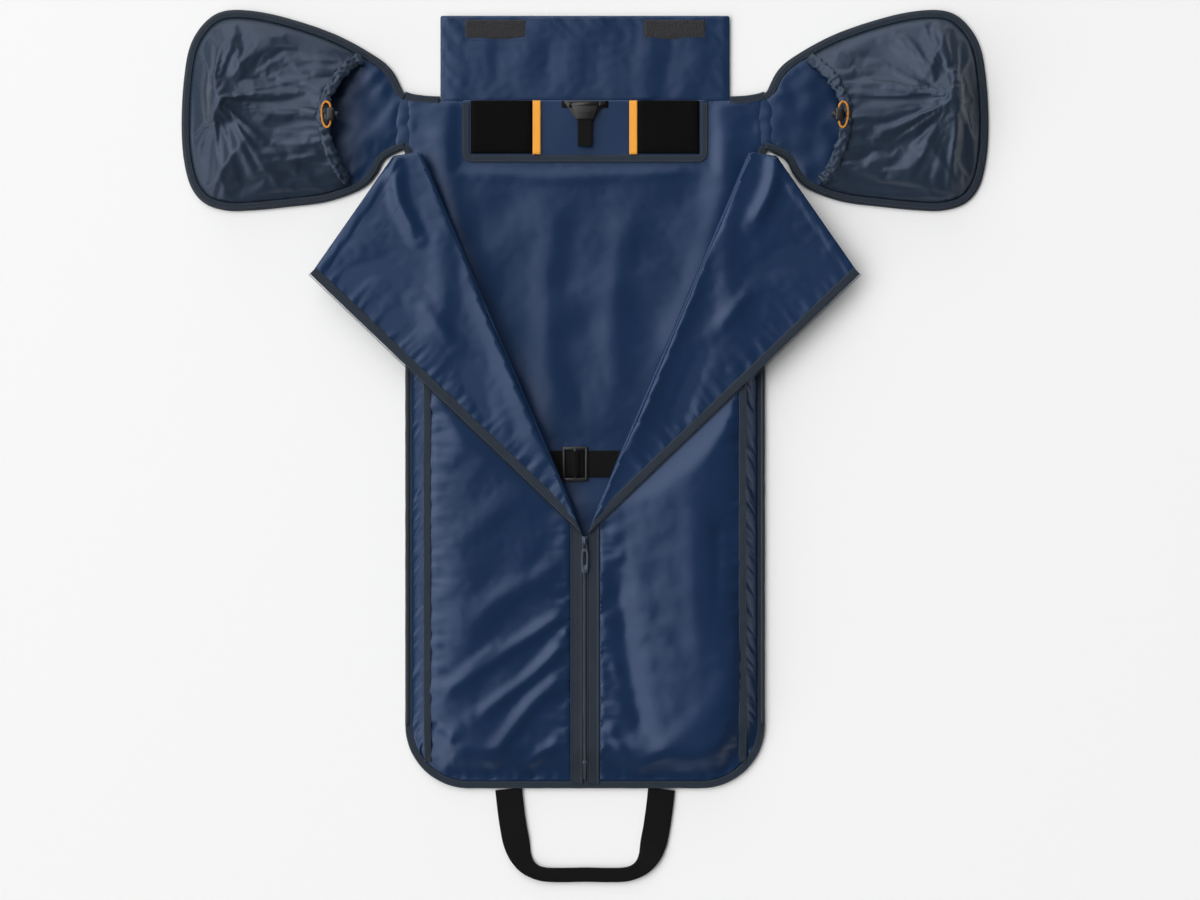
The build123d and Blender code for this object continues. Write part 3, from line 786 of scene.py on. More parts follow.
# ---- Drawcords (first, because their length has to be right) -------------------------------------
lock_lo, lock_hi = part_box("cord_lock_left")
lock_mid = [(a + b) / 2 for a, b in zip(lock_lo, lock_hi)]
half_lock = (lock_hi[1] - lock_lo[1]) / 2
LOOP_STEPS = [
    (0, half_lock, 0), (0, half_lock + 0.0055, 0), (-0.0065, half_lock + 0.010, -0.0012),
    (-0.012, half_lock + 0.0045, -0.0022), (-0.0128, 0.004, -0.0028), (-0.0122, -0.0055, -0.0028),
    (-0.0102, -half_lock - 0.005, -0.0022), (-0.0054, -half_lock - 0.010, -0.0012),
    (0, -half_lock - 0.0055, 0), (0, -half_lock, 0),
]


def make_drawcords():
    for side, sign in SIDES:
        curve = bpy.data.curves.new(f"drawcord_loop_{side}", "CURVE")
        curve.dimensions = "3D"
        curve.bevel_depth = 0.0015
        curve.bevel_resolution = 4
        curve.resolution_u = 10
        spline = curve.splines.new("NURBS")
        spline.points.add(len(LOOP_STEPS) - 1)
        places = [
            (-sign * (lock_mid[0] + x), lock_mid[1] + y, lock_mid[2] + z) for x, y, z in LOOP_STEPS
        ]
        for point, place in zip(spline.points, places):
            point.co = (*place, 1.0)
        spline.order_u = 3
        spline.use_endpoint_u = True
        curve.materials.append(finish_of["cord"])
        loop = bpy.data.objects.new(curve.name, curve)
        bpy.context.collection.objects.link(loop)
        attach(loop, f"wing_{side}")
        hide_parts(f"drawcord_{side}")


make_drawcords()

# ---- Outlines ------------------------------------------------------------------------------------
edge_in = half_width - binding_w  # inner edge of the body's binding
bed_r = corner_r - binding_w
SEAM_X = 0.2215  # the front panel's side seam
seam_low_y = corner_y - sqrt(bed_r**2 - (SEAM_X - (half_width - corner_r)) ** 2)
SEAM_TOP_Y = 0.372  # where the side seam's band ends
BAND_HALF = 0.0052
FRONT_LOW_Z = 0.0062  # the front where it is sewn into the binding


def round_bottom(left, radius, steps):
    """The left side from the top down, both bottom corners, and the right side back up."""
    middle = half_width - corner_r
    return (
        left + arc(
            -middle, corner_y, radius, 180, 270, steps
        ) + arc(middle, corner_y, radius, 270, 360, steps)
        + [(-x, y) for x, y in left[::-1]]
    )


def front_outline():
    corner = arc(-(half_width - corner_r), corner_y, bed_r, 270, 215.9, 8)
    top = [(-SEAM_X, fold_y(-SEAM_X) - 0.002), (-tape_edge, fold_y(-tape_edge))]
    return ([(-tape_edge, bottom_y + binding_w)] + corner + top)[::-1]


def rim_distance(points):
    """How far inside the binding's inner edge each point lies, at the bottom and its corners."""
    x, y = np.abs(points[:, 0]), points[:, 1]
    across = np.maximum(x - (half_width - corner_r), 0)
    down = np.maximum(corner_y - y, 0)
    return bed_r - np.hypot(across, down) + np.maximum(y - corner_y, 0)


def front_base(points):
    """Height of the front, low at the bottom edge and its corners."""
    up_side = (points[:, 1] - seam_low_y) / 1.5
    climb = ease(np.maximum(rim_distance(points), up_side) / 0.052)
    return FRONT_LOW_Z + (front_z + 0.0005 - FRONT_LOW_Z) * climb


# crests (and, below zero, hollows) of the settled cloth: points along it, width, height
FRONT_CRESTS = {
    -1: [
        ([(-0.167, -0.244), (-0.100, -0.205), (-0.029, -0.172)], 0.017, 0.0035),
        ([(-0.205, -0.352), (-0.115, -0.294), (-0.024, -0.234)], 0.010, 0.0045),
        ([(-0.170, -0.318), (-0.122, -0.281)], 0.007, 0.0020),
        ([(-0.155, -0.386), (-0.077, -0.326), (-0.025, -0.275)], 0.010, 0.0048),
        ([(-0.132, -0.440), (-0.077, -0.368), (-0.026, -0.320)], 0.011, 0.0050),
        ([(-0.090, -0.458), (-0.029, -0.412)], 0.009, 0.0036),
        ([(-0.200, -0.428), (-0.180, -0.400)], 0.008, 0.0028),
        ([(-0.180, -0.130), (-0.060, -0.060)], 0.020, 0.0022),
    ],
    1: [
        ([(0.155, -0.080), (0.1565, -0.244), (0.174, -0.299)], 0.014, 0.0035),
        ([(0.186, -0.100), (0.186, -0.240)], 0.010, -0.0030),
        ([(0.060, -0.468), (0.143, -0.405), (0.191, -0.347), (0.209, -0.299)], 0.015, 0.0050),
        ([(0.045, -0.180), (0.060, -0.299), (0.088, -0.423)], 0.016, -0.0042),
        ([(0.030, -0.390), (0.055, -0.440)], 0.008, 0.0022),
        ([(0.036, -0.300), (0.052, -0.330)], 0.007, 0.0020),
        ([(0.030, -0.170), (0.060, -0.150)], 0.007, 0.0018),
    ],
}
# how high each front stands, by distance from the zip
PUFF = {
    -1: ([0.020, 0.060, 0.110, 0.170, 0.200, 0.2215], [0.0010, 0.0016, 0.0036, 0.0076, 0.0046, 0.0]),
    1: ([0.020, 0.045, 0.100, 0.165, 0.192, 0.2215], [0.0010, 0.0008, 0.0084, 0.0170, 0.0108, 0.0]),
}


def crests(points, marks):
    """Height that rounded folds along these lines add."""
    rise = np.zeros(len(points))
    for line, width, high in marks:
        path = smooth_line([(*p, 0) for p in line], 0.004)[:, :2]
        ends = np.minimum(
            np.linalg.norm(points[:, :2] - path[0], axis=1), np.linalg.norm(
                points[:, :2] - path[-1], axis=1
            )
        )
        away = from_line(points, path, closed=False)
        rise += high * np.exp(-((away / width) ** 2)) * (0.35 + 0.65 * ease(ends / (2.2 * width)))
    return rise


def puckers(away, along, pitch, reach, high, seed):
    """Short folds square to a seam, away metres from it."""
    fold = np.array([
        hum(a, 0.22 * d, pitch, seed) + 0.5 * hum(
            a, 0.3 * d, pitch / 2, seed + 9
        ) for a, d in zip(along, away)
    ])
    return high * fold * np.exp(-away / reach) * (1 - np.exp(-away / 0.0025))


def front_shape(points, sign):
    """A puffed front with its diagonal folds and the puckers along its seams."""
    x, y = np.abs(points[:, 0]), points[:, 1]
    rim = rim_distance(points)
    inside = ease(rim / 0.05) * ease((SEAM_X - x) / 0.012)
    wide, high = PUFF[sign]
    lean = x + 0.016 * hum_all(points, 0.20, 73 + sign)
    rise = sum(
        np.interp(lean + step, wide, high) for step in np.linspace(-0.015, 0.015, 7)
    ) / 7 * inside
    rise += crests(points, FRONT_CRESTS[sign]) * ease(rim / 0.014)
    rise += puckers(np.maximum(SEAM_X - x, 0), y, 0.016, 0.017, 0.0056, 51 + sign)
    rise += puckers(np.maximum(x - tape_edge, 0), y, 0.016, 0.015, 0.0046, 61 + sign)
    rise += puckers(np.maximum(rim, 0), points[:, 0], 0.021, 0.013, 0.0048, 71 + sign)
    drift = points @ np.array([[0.77, 0.28], [-0.64, 0.33]]) if sign < 0 else points
    rise += 0.0016 * hum_all(drift, 0.030, 75 + sign)
    return rise


wing_axis_x = joints["wing_left_fold"]["pos_m"][0]
WING_LINE = smooth_line(
    [
        (-0.257, 0.500), (-0.274, 0.532), (-0.301, 0.554), (-0.355, 0.583), (-0.423, 0.606), (-0.476, 0.6165),
        (-0.515, 0.615), (-0.541, 0.598), (-0.5605, 0.566), (-0.569, 0.520), (-0.5725, 0.462), (-0.570, 0.410),
        (-0.560, 0.368), (-0.540, 0.343), (-0.508, 0.3325), (-0.469, 0.333), (-0.418, 0.338), (-0.370, 0.344),
        (-0.334, 0.355), (-0.309, 0.368), (-0.294, 0.386), (-0.284, 0.404), (-0.2575, 0.4185),
    ],
    0.006,
)


def inner_line(line, inset):
    """A line moved inwards (to the left of its run is inside here)."""
    flat = np.asarray(line, float)
    run = np.gradient(flat, axis=0)
    normal = np.stack([-run[:, 1], run[:, 0]], axis=1)
    normal /= np.linalg.norm(normal, axis=1)[:, None]
    return flat + normal * inset


# ---- Queue the cloth -----------------------------------------------------------------------------
GAP = 0.0046       # net of the fine cloths
WIDE_GAP = 0.007   # net of the linings
POUCH_GAP = 0.0045
WRINKLE = 0.0003   # faint creases on every cloth
FLAP_Z = 0.0044    # the flap's upper face, lying open
cuts = {}


def queue_flat(name, outline, base_of, grow, shape_of, seed, bend, gap=GAP):
    """Cut a cloth, lay it with its folds on its base surface and queue it for settling."""
    flat, faces = cut_cloth(outline, gap)
    base = base_of(flat)
    edge = from_line(flat, evenly(outline, gap, closed=True)) < gap * 0.2
    rise = shape_of(flat) + WRINKLE * hum_all(flat, 0.012, seed)
    place = np.column_stack([flat, base + np.where(edge, 0, rise)])
    pattern = place.copy()
    pattern[:, :2] += (flat - flat.mean(axis=0)) * grow
    settle_later(name, place, faces, pattern, np.flatnonzero(edge), bend)
    cuts[name] = dict(flat=flat, faces=faces, base=base)


def mirror_outline(outline, sign):
    """The outline as it is for the left, mirrored for the right."""
    if sign < 0:
        return outline
    return [(-x, y) for x, y in outline][::-1]


LAPEL_CLOSED = [
    (-tape_edge + 0.008, fold_y(-tape_edge + 0.008)), (-tape_edge + 0.008, front_top_y),
    (-0.2056, front_top_y + 0.030), (fold_x(front_top_y + 0.008), front_top_y + 0.008),
]
lapel_line = [folded(x, y) for x, y in LAPEL_CLOSED]
fold_line_xy = np.array([lapel_line[0], lapel_line[-1]])
lapel_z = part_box("lapel_left")[0][2]
ROLL_R = 0.0042


def from_fold(points, sign):
    """Distance of each point from the lapel's fold line."""
    line = fold_line_xy * (np.array([-sign, 1.0]))
    return from_line(points, line, closed=False)


def lapel_base(sign):
    """Height of the open lapel, rising to the roll at its fold."""
    def base(points):
        low = lapel_z + 0.0012
        return low + (
            fold_foot.z + ROLL_R - lapel_z - 0.0012
        ) * np.exp(-from_fold(points, sign) / 0.018)
    return base


LAPEL_CRESTS = [
    ([(-0.060, -0.010), (-0.105, 0.110), (-0.150, 0.230)], 0.018, 0.0040),
    ([(-0.215, 0.120), (-0.200, 0.230), (-0.205, 0.330)], 0.020, 0.0030),
    ([(-0.268, 0.395), (-0.262, 0.345), (-0.235, 0.290)], 0.010, 0.0058),
    ([(-0.345, 0.235), (-0.290, 0.250), (-0.250, 0.230)], 0.014, -0.0022),
    ([(-0.130, 0.020), (-0.165, 0.110)], 0.012, -0.0026),
    ([(-0.240, 0.205), (-0.180, 0.140)], 0.010, 0.0026),
]
BACK_CRESTS = [
    ([(-0.205, 0.475), (-0.185, 0.330), (-0.120, 0.100)], 0.020, 0.0042),
    ([(0.200, 0.470), (0.190, 0.330), (0.120, 0.110)], 0.020, 0.0042),
    ([(-0.150, 0.390), (-0.060, 0.380), (0.060, 0.384), (0.150, 0.392)], 0.010, 0.0024),
    ([(-0.040, 0.350), (-0.055, 0.150), (-0.030, 0.030)], 0.022, 0.0026),
    ([(0.060, 0.340), (0.040, 0.180), (0.050, 0.060)], 0.020, 0.0026),
]


def lapel_shape(points, sign):
    """Broad folds, the hem along the free top edge and puckers beside the tape."""
    own = points.copy()
    own[:, 0] = -np.abs(own[:, 0])
    if sign > 0:
        own[:, 1] -= 0.018
    tip = np.array(lapel_line[1])
    hem = from_line(points, np.array(lapel_line[1:3]) * (-sign, 1), closed=False)
    tape = from_line(points, np.array([lapel_line[0], tip]) * (-sign, 1), closed=False)
    along = points[:, 0] - points[:, 1]
    rise = crests(own, LAPEL_CRESTS) * ease(tape / 0.02)
    rise += 0.0012 * (1 - ease((hem - 0.011) / 0.003))
    rise += puckers(tape, points[:, 0] * -sign - points[:, 1], 0.020, 0.020, 0.0034, 81 + sign)
    rise += puckers(hem, along, 0.030, 0.025, 0.0008, 91 + sign)
    rise += 0.0016 * hum_all(points, 0.07, 95 + sign)
    return rise


def queue_fronts():
    for side, sign in SIDES:
        queue_flat(
            f"front_{side}", mirror_outline(front_outline(), sign), front_base,
            grow=0.005, shape_of=lambda p, k=sign: front_shape(p, k), seed=3.0 + sign, bend=1.0,
        )
        queue_flat(
            f"lapel_{side}", mirror_outline(lapel_line, sign), lapel_base(sign),
            grow=0.004, shape_of=lambda p, k=sign: lapel_shape(p, k), seed=9.0 + sign, bend=2.0,
        )


def back_shape(points):
    """Loose folds of the lining, pressed flat under the strap and the hanger panel."""
    strap = np.maximum(np.abs(points[:, 1] - (strap_lo[1] + strap_hi[1]) / 2) - 0.022, 0)
    over_panel = (np.abs(points[:, 0]) < hanger_hi[0] + 0.004) & (points[:, 1] > hanger_lo[1] - 0.004)
    panel_edge = np.maximum(np.abs(points[:, 0]) - hanger_hi[0], hanger_lo[1] - points[:, 1])
    free = ease(strap / 0.04) * np.where(over_panel, 0, ease(np.maximum(panel_edge, 0) / 0.02))
    side = half_width - binding_w - np.abs(points[:, 0])
    loose = crests(points, BACK_CRESTS) + 0.0022 * hum_all(points, 0.06, 33) + 0.0012
    loose += puckers(np.maximum(side, 0), points[:, 1], 0.020, 0.025, 0.0026, 35)
    return free * loose


def queue_back():
    """The inner lining, and the top flap."""
    neck_low, neck_high = 0.4165, 0.4975
    neck_x = half_width + 0.0008
    left = [
        (-0.206, top_y - 0.001), (-neck_x, neck_high), (-neck_x, neck_low), (
            -edge_in + 0.0015, neck_low - 0.006
        )
    ]
    queue_flat(
        "back", round_bottom(left, bed_r, 8), lambda p: np.full(len(p), LINING_Z), grow=0.003,
        shape_of=back_shape, seed=20.0, gap=WIDE_GAP, bend=2.0,
    )
    flap_outline = [
        (flap_lo[0], flap_lo[1] - 0.004), (flap_hi[0], flap_lo[1] - 0.004), (flap_hi[0], flap_hi[1]),
        (flap_lo[0], flap_hi[1]),
    ]

    def flap_shape(points):
        side = flap_hi[0] - np.abs(points[:, 0])
        high = flap_hi[1] - points[:, 1]
        rise = 0.0016 * hum_all(points * (1, 0.45), 0.035, 44) + 0.0012
        away = np.maximum(np.minimum(side, high), 0)
        rise += puckers(away, points[:, 0] + points[:, 1], 0.018, 0.018, 0.0016, 45)
        return rise * ease(side / 0.01)

    queue_flat(
        "flap", flap_outline, lambda p: np.full(len(p), FLAP_Z), grow=0.002, shape_of=flap_shape, seed=31.0, bend=3.0,
    )


def queue_wings():
    """Linings of the duffel ends, seen beside the pouches' mouths."""
    line = inner_line(WING_LINE, 0.0085)
    line[0], line[-1] = (wing_axis_x, line[0][1]), (wing_axis_x, line[-1][1])

    def wing_shape(points):
        away = from_line(points, line)
        rise = puckers(away, points[:, 0] - points[:, 1], 0.016, 0.022, 0.0030, 47)
        return rise + 0.0018 * ease(away / 0.02) * (1 + hum_all(points, 0.03, 48))

    for side, sign in SIDES:
        queue_flat(
            f"wing_{side}", mirror_outline(
                [tuple(p) for p in line], sign
            ), lambda p: np.full(len(p), LINING_Z),
            grow=0.004, shape_of=wing_shape, seed=49.0, gap=WIDE_GAP, bend=1.5,
        )


# ---- Shoe pouches --------------------------------------------------------------------------------
MOUTH = smooth_line(
    [(-0.318, 0.548), (-0.338, 0.530), (-0.353, 0.508), (-0.364, 0.486), (-0.3675, 0.465), (-0.365, 0.440),
     (-0.357, 0.412), (-0.346, 0.388), (-0.333, 0.372)],
    0.004,
)
PEAK = (-0.521, 0.486)  # where the heel lifts the pouch
RIM_Z = 0.006
POUCH_MID_Y = 0.467


def pouch_rim():
    """The pouch's seam round the duffel end, from the mouth's upper end to its lower one."""
    rim = inner_line(WING_LINE, 0.0115)
    first = np.argmin(np.linalg.norm(rim - MOUTH[0], axis=1))
    last = np.argmin(np.linalg.norm(rim - MOUTH[-1], axis=1))
    return rim[first : last + 1]


pouch_seam = pouch_rim()


def pouch_height(points):
    """Height of the pouch over its seam, tallest at the heel."""
    away = from_line(points, pouch_seam, closed=False)
    along = np.clip((-points[:, 0] - 0.34) / 0.18, 0, 1)
    crown = 0.052 + 0.016 * along
    heel = np.linalg.norm(points[:, :2] - np.array(PEAK), axis=1)
    dome = RIM_Z + (crown - RIM_Z) * (1 - np.exp(-away / 0.042))
    return dome + 0.020 * np.exp(-((heel / 0.034) ** 2)) * ease(away / 0.03)


POUCH_CRESTS = [
    ([(-0.505, 0.500), (-0.440, 0.548), (-0.372, 0.570)], 0.010, -0.0037),
    ([(-0.500, 0.512), (-0.450, 0.570), (-0.400, 0.594)], 0.009, 0.0025),
    ([(-0.505, 0.490), (-0.440, 0.512), (-0.372, 0.524)], 0.012, 0.0031),
    ([(-0.500, 0.480), (-0.440, 0.482), (-0.378, 0.488)], 0.010, -0.0038),
    ([(-0.502, 0.470), (-0.440, 0.452), (-0.375, 0.440)], 0.012, 0.0032),
    ([(-0.505, 0.462), (-0.445, 0.420), (-0.372, 0.400)], 0.009, -0.0035),
    ([(-0.505, 0.452), (-0.462, 0.395), (-0.410, 0.358)], 0.011, 0.0029),
    ([(-0.521, 0.496), (-0.516, 0.535), (-0.503, 0.588)], 0.006, 0.0031),
    ([(-0.530, 0.498), (-0.537, 0.530), (-0.530, 0.572)], 0.008, -0.0025),
    ([(-0.522, 0.476), (-0.522, 0.430), (-0.512, 0.360)], 0.006, 0.0031),
    ([(-0.534, 0.470), (-0.542, 0.430), (-0.535, 0.385)], 0.008, -0.0025),
    ([(-0.505, 0.470), (-0.495, 0.420), (-0.478, 0.355)], 0.008, -0.0025),
    ([(-0.508, 0.505), (-0.485, 0.550), (-0.455, 0.598)], 0.008, -0.0022),
]


def pouch_shape(points, seed):
    """Creases that run out from the heel, and gathers behind the mouth's hem."""
    away = from_line(points, pouch_seam, closed=False)
    mouth = from_line(points, MOUTH, closed=False)
    turn = np.arctan2(points[:, 1] - POUCH_MID_Y, points[:, 0] + 0.455) * 0.125
    arm = points[:, :2] - np.array(PEAK)
    reach = np.hypot(arm[:, 0], arm[:, 1])
    spoke = np.arctan2(arm[:, 1], arm[:, 0])
    ring = np.column_stack([np.cos(spoke), np.sin(spoke)])
    star = 0.65 * hum_all(ring, 0.30, 107 + seed) + 0.5 * hum_all(ring, 0.13, 109 + seed)
    star = np.abs(star) - 0.22
    rise = 0.0090 * star * (reach / 0.05) * np.exp(1 - reach / 0.05) * ease(away / 0.03)
    rise += 0.55 * crests(points, POUCH_CRESTS) * ease(away / 0.03)
    rise += puckers(mouth, points[:, 1], 0.0135, 0.038, 0.0080, 101 + seed)
    rise += puckers(away, turn, 0.022, 0.014, 0.0018, 103 + seed)
    rise += 0.0005 * hum_all(points, 0.018, 105 + seed)
    return rise * ease(np.minimum(mouth, away) / 0.008)


def queue_pouches():
    outline = [tuple(p) for p in np.vstack([pouch_seam, MOUTH[::-1][1:-1]])]
    flat, faces = cut_cloth(outline, POUCH_GAP)
    edge = from_line(flat, evenly(outline, POUCH_GAP, closed=True)) < 0.001
    base = pouch_height(flat)
    near_mouth = np.exp(-from_line(flat, MOUTH, closed=False) / 0.05)
    for side, sign in SIDES:
        start = np.column_stack([flat, base + np.where(edge, 0, pouch_shape(flat, 7 * sign))])
        pattern = start.copy()
        pattern[:, 1] += (start[:, 1] - POUCH_MID_Y) * (0.012 + 0.07 * near_mouth)
        pattern[:, 0] += (start[:, 0] + 0.45) * 0.012
        start[:, 0] *= -sign
        pattern[:, 0] *= -sign
        flipped = faces if sign < 0 else [tuple(reversed(f)) for f in faces]
        settle_later(
            f"pouch_{side}", start, flipped, pattern, np.flatnonzero(edge), bend=0.6, gravity=0.05
        )
        cuts[f"pouch_{side}"] = dict(flat=flat * np.array([-sign, 1]), faces=flipped, base=base)


queue_pouches()
queue_fronts()
queue_back()
queue_wings()
rested = run_cloth(CLOTH_FRAMES)


def cloth_piece(name, key, points, material, body, thick=0.0008):
    """A settled cloth as a piece, rounded and given its thickness."""
    flat = cuts[key]["flat"]
    piece = make_piece(name, points, cuts[key]["faces"], material, body, uv=flat)
    thicken(piece, thick, levels=1)
    return piece


def declare_sheet(points, size=None):
    """Work out the size of the cloth's box, unless one is given; nothing further is done with it."""
    if size is None:
        size = np.ptp(points[:, :2], axis=0)


UNDER_LAPEL_Z = 0.0276  # the fronts stay below this where a lapel lies on them
LIMIT_EASE = 0.0008


def make_fronts():
    for side, sign in SIDES:
        points = rested[f"front_{side}"]
        base = cuts[f"front_{side}"]["base"]
        points = kept_near(points, base, 0.014, 0.008)
        lapel = np.array(mirror_outline(lapel_line, sign))
        beyond = np.where(within(points[:, :2], lapel), 0, ease(from_line(points, lapel) / 0.06))
        top = UNDER_LAPEL_Z + 0.012 * beyond
        points[:, 2] = top - LIMIT_EASE * np.log1p(np.exp(np.minimum(
            (top - points[:, 2]) / LIMIT_EASE, 60
        )))
        points[:, 2] = np.minimum(points[:, 2], top)
        piece = cloth_piece(f"front_cloth_{side}", f"front_{side}", points, finish_of["navy"], "bag")
        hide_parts(f"front_panel_{side}", *(["gusset_bottom"] if sign < 0 else []))
        declare_sheet(points)


def make_back():
    points = kept_near(rested["back"], cuts["back"]["base"], 0.009, 0.0004)
    piece = cloth_piece("back_lining_cloth", "back", points, finish_of["navy"], "bag", 0.0006)
    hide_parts("back_lining")
    declare_sheet(points)


def body_edge(inset):
    """The body's outline at an inset, from the upper left corner round to the upper right."""
    x = half_width - inset
    top = 0.498 - inset
    left = [
        (
            -0.206, top_y + 0.002 - inset
        ), (-0.228, top_y + 0.004 - inset), (-x + 0.006, top - 0.002), (-x, top - 0.012)
    ]
    return np.array(round_bottom(left, corner_r - inset, 14))


def shaped_plate(name, outline, z0, z1, material, body):
    """A thin plate with this outline and rounded edges."""
    rim = np.asarray(outline)
    mid = rim.mean(axis=0)
    rings = []
    for inset, z in ((0.0016, z0), (0.0, (z0 + z1) / 2), (0.0016, z1)):
        arm = rim - mid
        length = np.linalg.norm(arm, axis=1)[:, None]
        rings.append(np.column_stack([mid + arm * (1 - inset / length), np.full(len(rim), z)]))
    verts = np.vstack(rings)
    n = len(rim)
    faces = grid(3, n, closed=True) + [tuple(range(n))[::-1], tuple(range(2 * n, 3 * n))]
    piece = make_piece(name, verts, faces, material, body, uv=verts[:, :2], smooth=False)
    outward(piece)
    return piece


def make_shell():
    outline = evenly(body_edge(0.002), 0.01, closed=True)
    shell = shaped_plate("outer_shell_cloth", outline, 0.0006, 0.0034, finish_of["shell"], "bag")
    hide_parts("outer_shell")


def lay(line, z):
    """A flat line at a height, or at a height for each point."""
    return np.column_stack([np.asarray(line)[:, :2], np.full(len(line), z) if np.isscalar(z) else z])


def make_body_binding():
    """Grosgrain folded round the body's edge, from flap to flap. Returns its rows of stitches."""
    left = [(-0.2552, 0.4225), (-0.2512, 0.4185), (-half_width + binding_w / 2, 0.408)]
    run = round_bottom(left, corner_r - binding_w / 2, 14)
    line = lay(smooth_line(evenly(run, 0.008), 0.0035), 0.0034)
    section = bar_section(binding_w, 0.0058, 5.0)

    def wavy(k, along, a, b):
        return a + 0.0003 * hum(along, 0, 0.02, 3), b * (1 + 0.12 * hum(along, a, 0.008, 7))

    binding = sweep("edge_binding_tape", line, section, finish_of["slate"], "bag", ruffle=wavy)
    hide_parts("edge_binding")
    rows = [beside(line, out, 0.0031) for out in (-0.0040, 0.0040)]
    for side, sign in SIDES:
        shoulder = [
            (-0.2556, 0.4960, 0.0036), (-0.2440, 0.4925, 0.0036), (-0.2260, 0.4900, 0.0036), (-0.2060, 0.4890, 0.0034)
        ]
        tape = smooth_line(mirrored(shoulder, sign), 0.003)
        piece = sweep(f"shoulder_binding_{side}", tape, section, finish_of["slate"], "bag", ruffle=wavy)
        rows += [beside(tape, out, 0.0031) for out in (-0.0040, 0.0040)]
    return rows


def make_side_zips():
    """Half of each side zip, lying on the binding."""
    for side, sign in SIDES:
        lo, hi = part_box(f"side_zip_{side}")
        mid = (lo[0] + hi[0]) / 2
        y = np.arange(lo[1], hi[1], 0.006)
        line = np.column_stack([np.full(len(y), mid), y, np.full(len(y), 0.0070)])
        bed = sweep(
            f"side_zip_bed_{side}", line, bar_section(0.0046, 0.0014, 3.0, 12), finish_of["coil"], "bag"
        )
        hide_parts(f"side_zip_{side}")
        edge = line + np.array((sign * 0.0012, 0, 0.0006))
        turns = rows_along(
            f"side_zip_turns_{side}", [edge], "stitch", 0.0017, (0.0014, 0.0026, 0.0016), finish_of["coil"], "bag",
        )


def make_gussets():
    """Gathered sides between the binding and the front's side seams."""
    for side, sign in SIDES:
        rows = np.arange(seam_low_y, front_top_y - 0.001, 0.0022)
        cols = 13
        verts, uv = [], []
        drop = np.clip(corner_y - rows, 0, bed_r)
        foot = np.minimum(half_width - corner_r + np.sqrt(bed_r**2 - drop**2), edge_in) + 0.0012
        high = front_base(np.column_stack([np.full(len(rows), SEAM_X), rows]))
        for r, y in enumerate(rows):
            for c in range(cols):
                t = c / (cols - 1)
                x = foot[r] + (SEAM_X + 0.004 - foot[r]) * t
                z = 0.0056 + (high[r] - 0.0056) * t
                swell = sin(pi * t) ** 0.7
                lean = y - 0.022 * t
                pleat = hum(
                    lean, 0.008 * t, 0.017, 11 + sign
                ) + 0.55 * hum(lean, 0.006 * t, 0.008, 23 + sign)
                x -= swell * 0.0012 * pleat
                z += swell * 0.0050 * pleat
                verts.append((sign * x, y, z))
                uv.append((y, t * 0.030))
        faces = grid(len(rows), cols)
        if sign > 0:
            faces = [f[::-1] for f in faces]
        gusset = make_piece(f"gusset_cloth_{side}", verts, faces, finish_of["navy"], "bag", uv)
        thicken(gusset, 0.0008, levels=1)
        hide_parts(f"gusset_{side}")


def seam_line(sign):
    """The side seam of a front, just above the cloth."""
    y = np.arange(seam_low_y + 0.003, SEAM_TOP_Y, 0.004)
    base = front_base(np.column_stack([np.full(len(y), SEAM_X), y]))
    x = np.array([SEAM_X + 0.001 + 0.0012 * hum(v, 0, 0.08, 2 + sign) for v in y])
    return np.column_stack([sign * x, y, base + 0.0012])


def make_seam_bands():
    for side, sign in SIDES:
        line = seam_line(sign)
        section = bar_section(2 * BAND_HALF, 0.0016, 4.0, 14)

        def wavy(k, along, a, b):
            return a + 0.0004 * hum(along, 0, 0.015, 8), b + 0.0008 * hum(along, a, 0.014, 4)

        sweep(f"seam_band_{side}", line, section, finish_of["slate"], "bag", ruffle=wavy)
    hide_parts("seam_band")


# ---- Front zip -----------------------------------------------------------------------------------
def zip_centre(high, low=bottom_y + 0.006):
    """The zip's middle line, just above the fronts."""
    y = np.arange(low, high, 0.004)
    flat = np.column_stack([np.zeros(len(y)), y])
    return np.column_stack([flat, front_base(flat) + 0.0004])


def make_front_zip():
    for side, sign in SIDES:
        line = zip_centre(high=fold_y(-tape_edge) + 0.001)
        middle = (ZIP_GAP_HALF + tape_edge) / 2
        line[:, 0] += sign * middle
        width = tape_edge - ZIP_GAP_HALF + 0.001

        def wavy(k, along, a, b):
            out = max(middle + sign * a, -fold_x(max(line[k][1], fold_foot.y)))
            hem = 0.0008 * (abs(a) > width * 0.4)
            return sign * (out - middle), b + 0.0007 * hum(along, a, 0.02, 14 + sign) + hem

        tape = sweep(
            f"zip_tape_band_{side}", line, bar_section(width, 0.0016, 5.0, 22), finish_of["slate"],
            "bag", ruffle=wavy
        )
        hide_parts(f"zip_tape_{side}")
    centre = zip_centre(low=bottom_y + 0.012, high=fold_foot.y - 0.002)
    bed = sweep("zip_coil_bed", centre, bar_section(0.0058, 0.0018, 3.0, 14), finish_of["coil"], "bag")
    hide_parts("zip_coil")
    fine = smooth_line(centre[::3], 0.004)
    fine[:, 2] += 0.0006
    coils = rows_along(
        "zip_coil_turns", [fine], "stitch", 0.0013, (0.0011, 0.0052, 0.0016), finish_of["coil"], "bag"
    )
    stop_lo, stop_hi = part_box("zip_bottom_stop")
    stop = hard_box("zip_stop", stop_lo, stop_hi, finish_of["metal"], "bag", 0.0008)
    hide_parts("zip_bottom_stop")


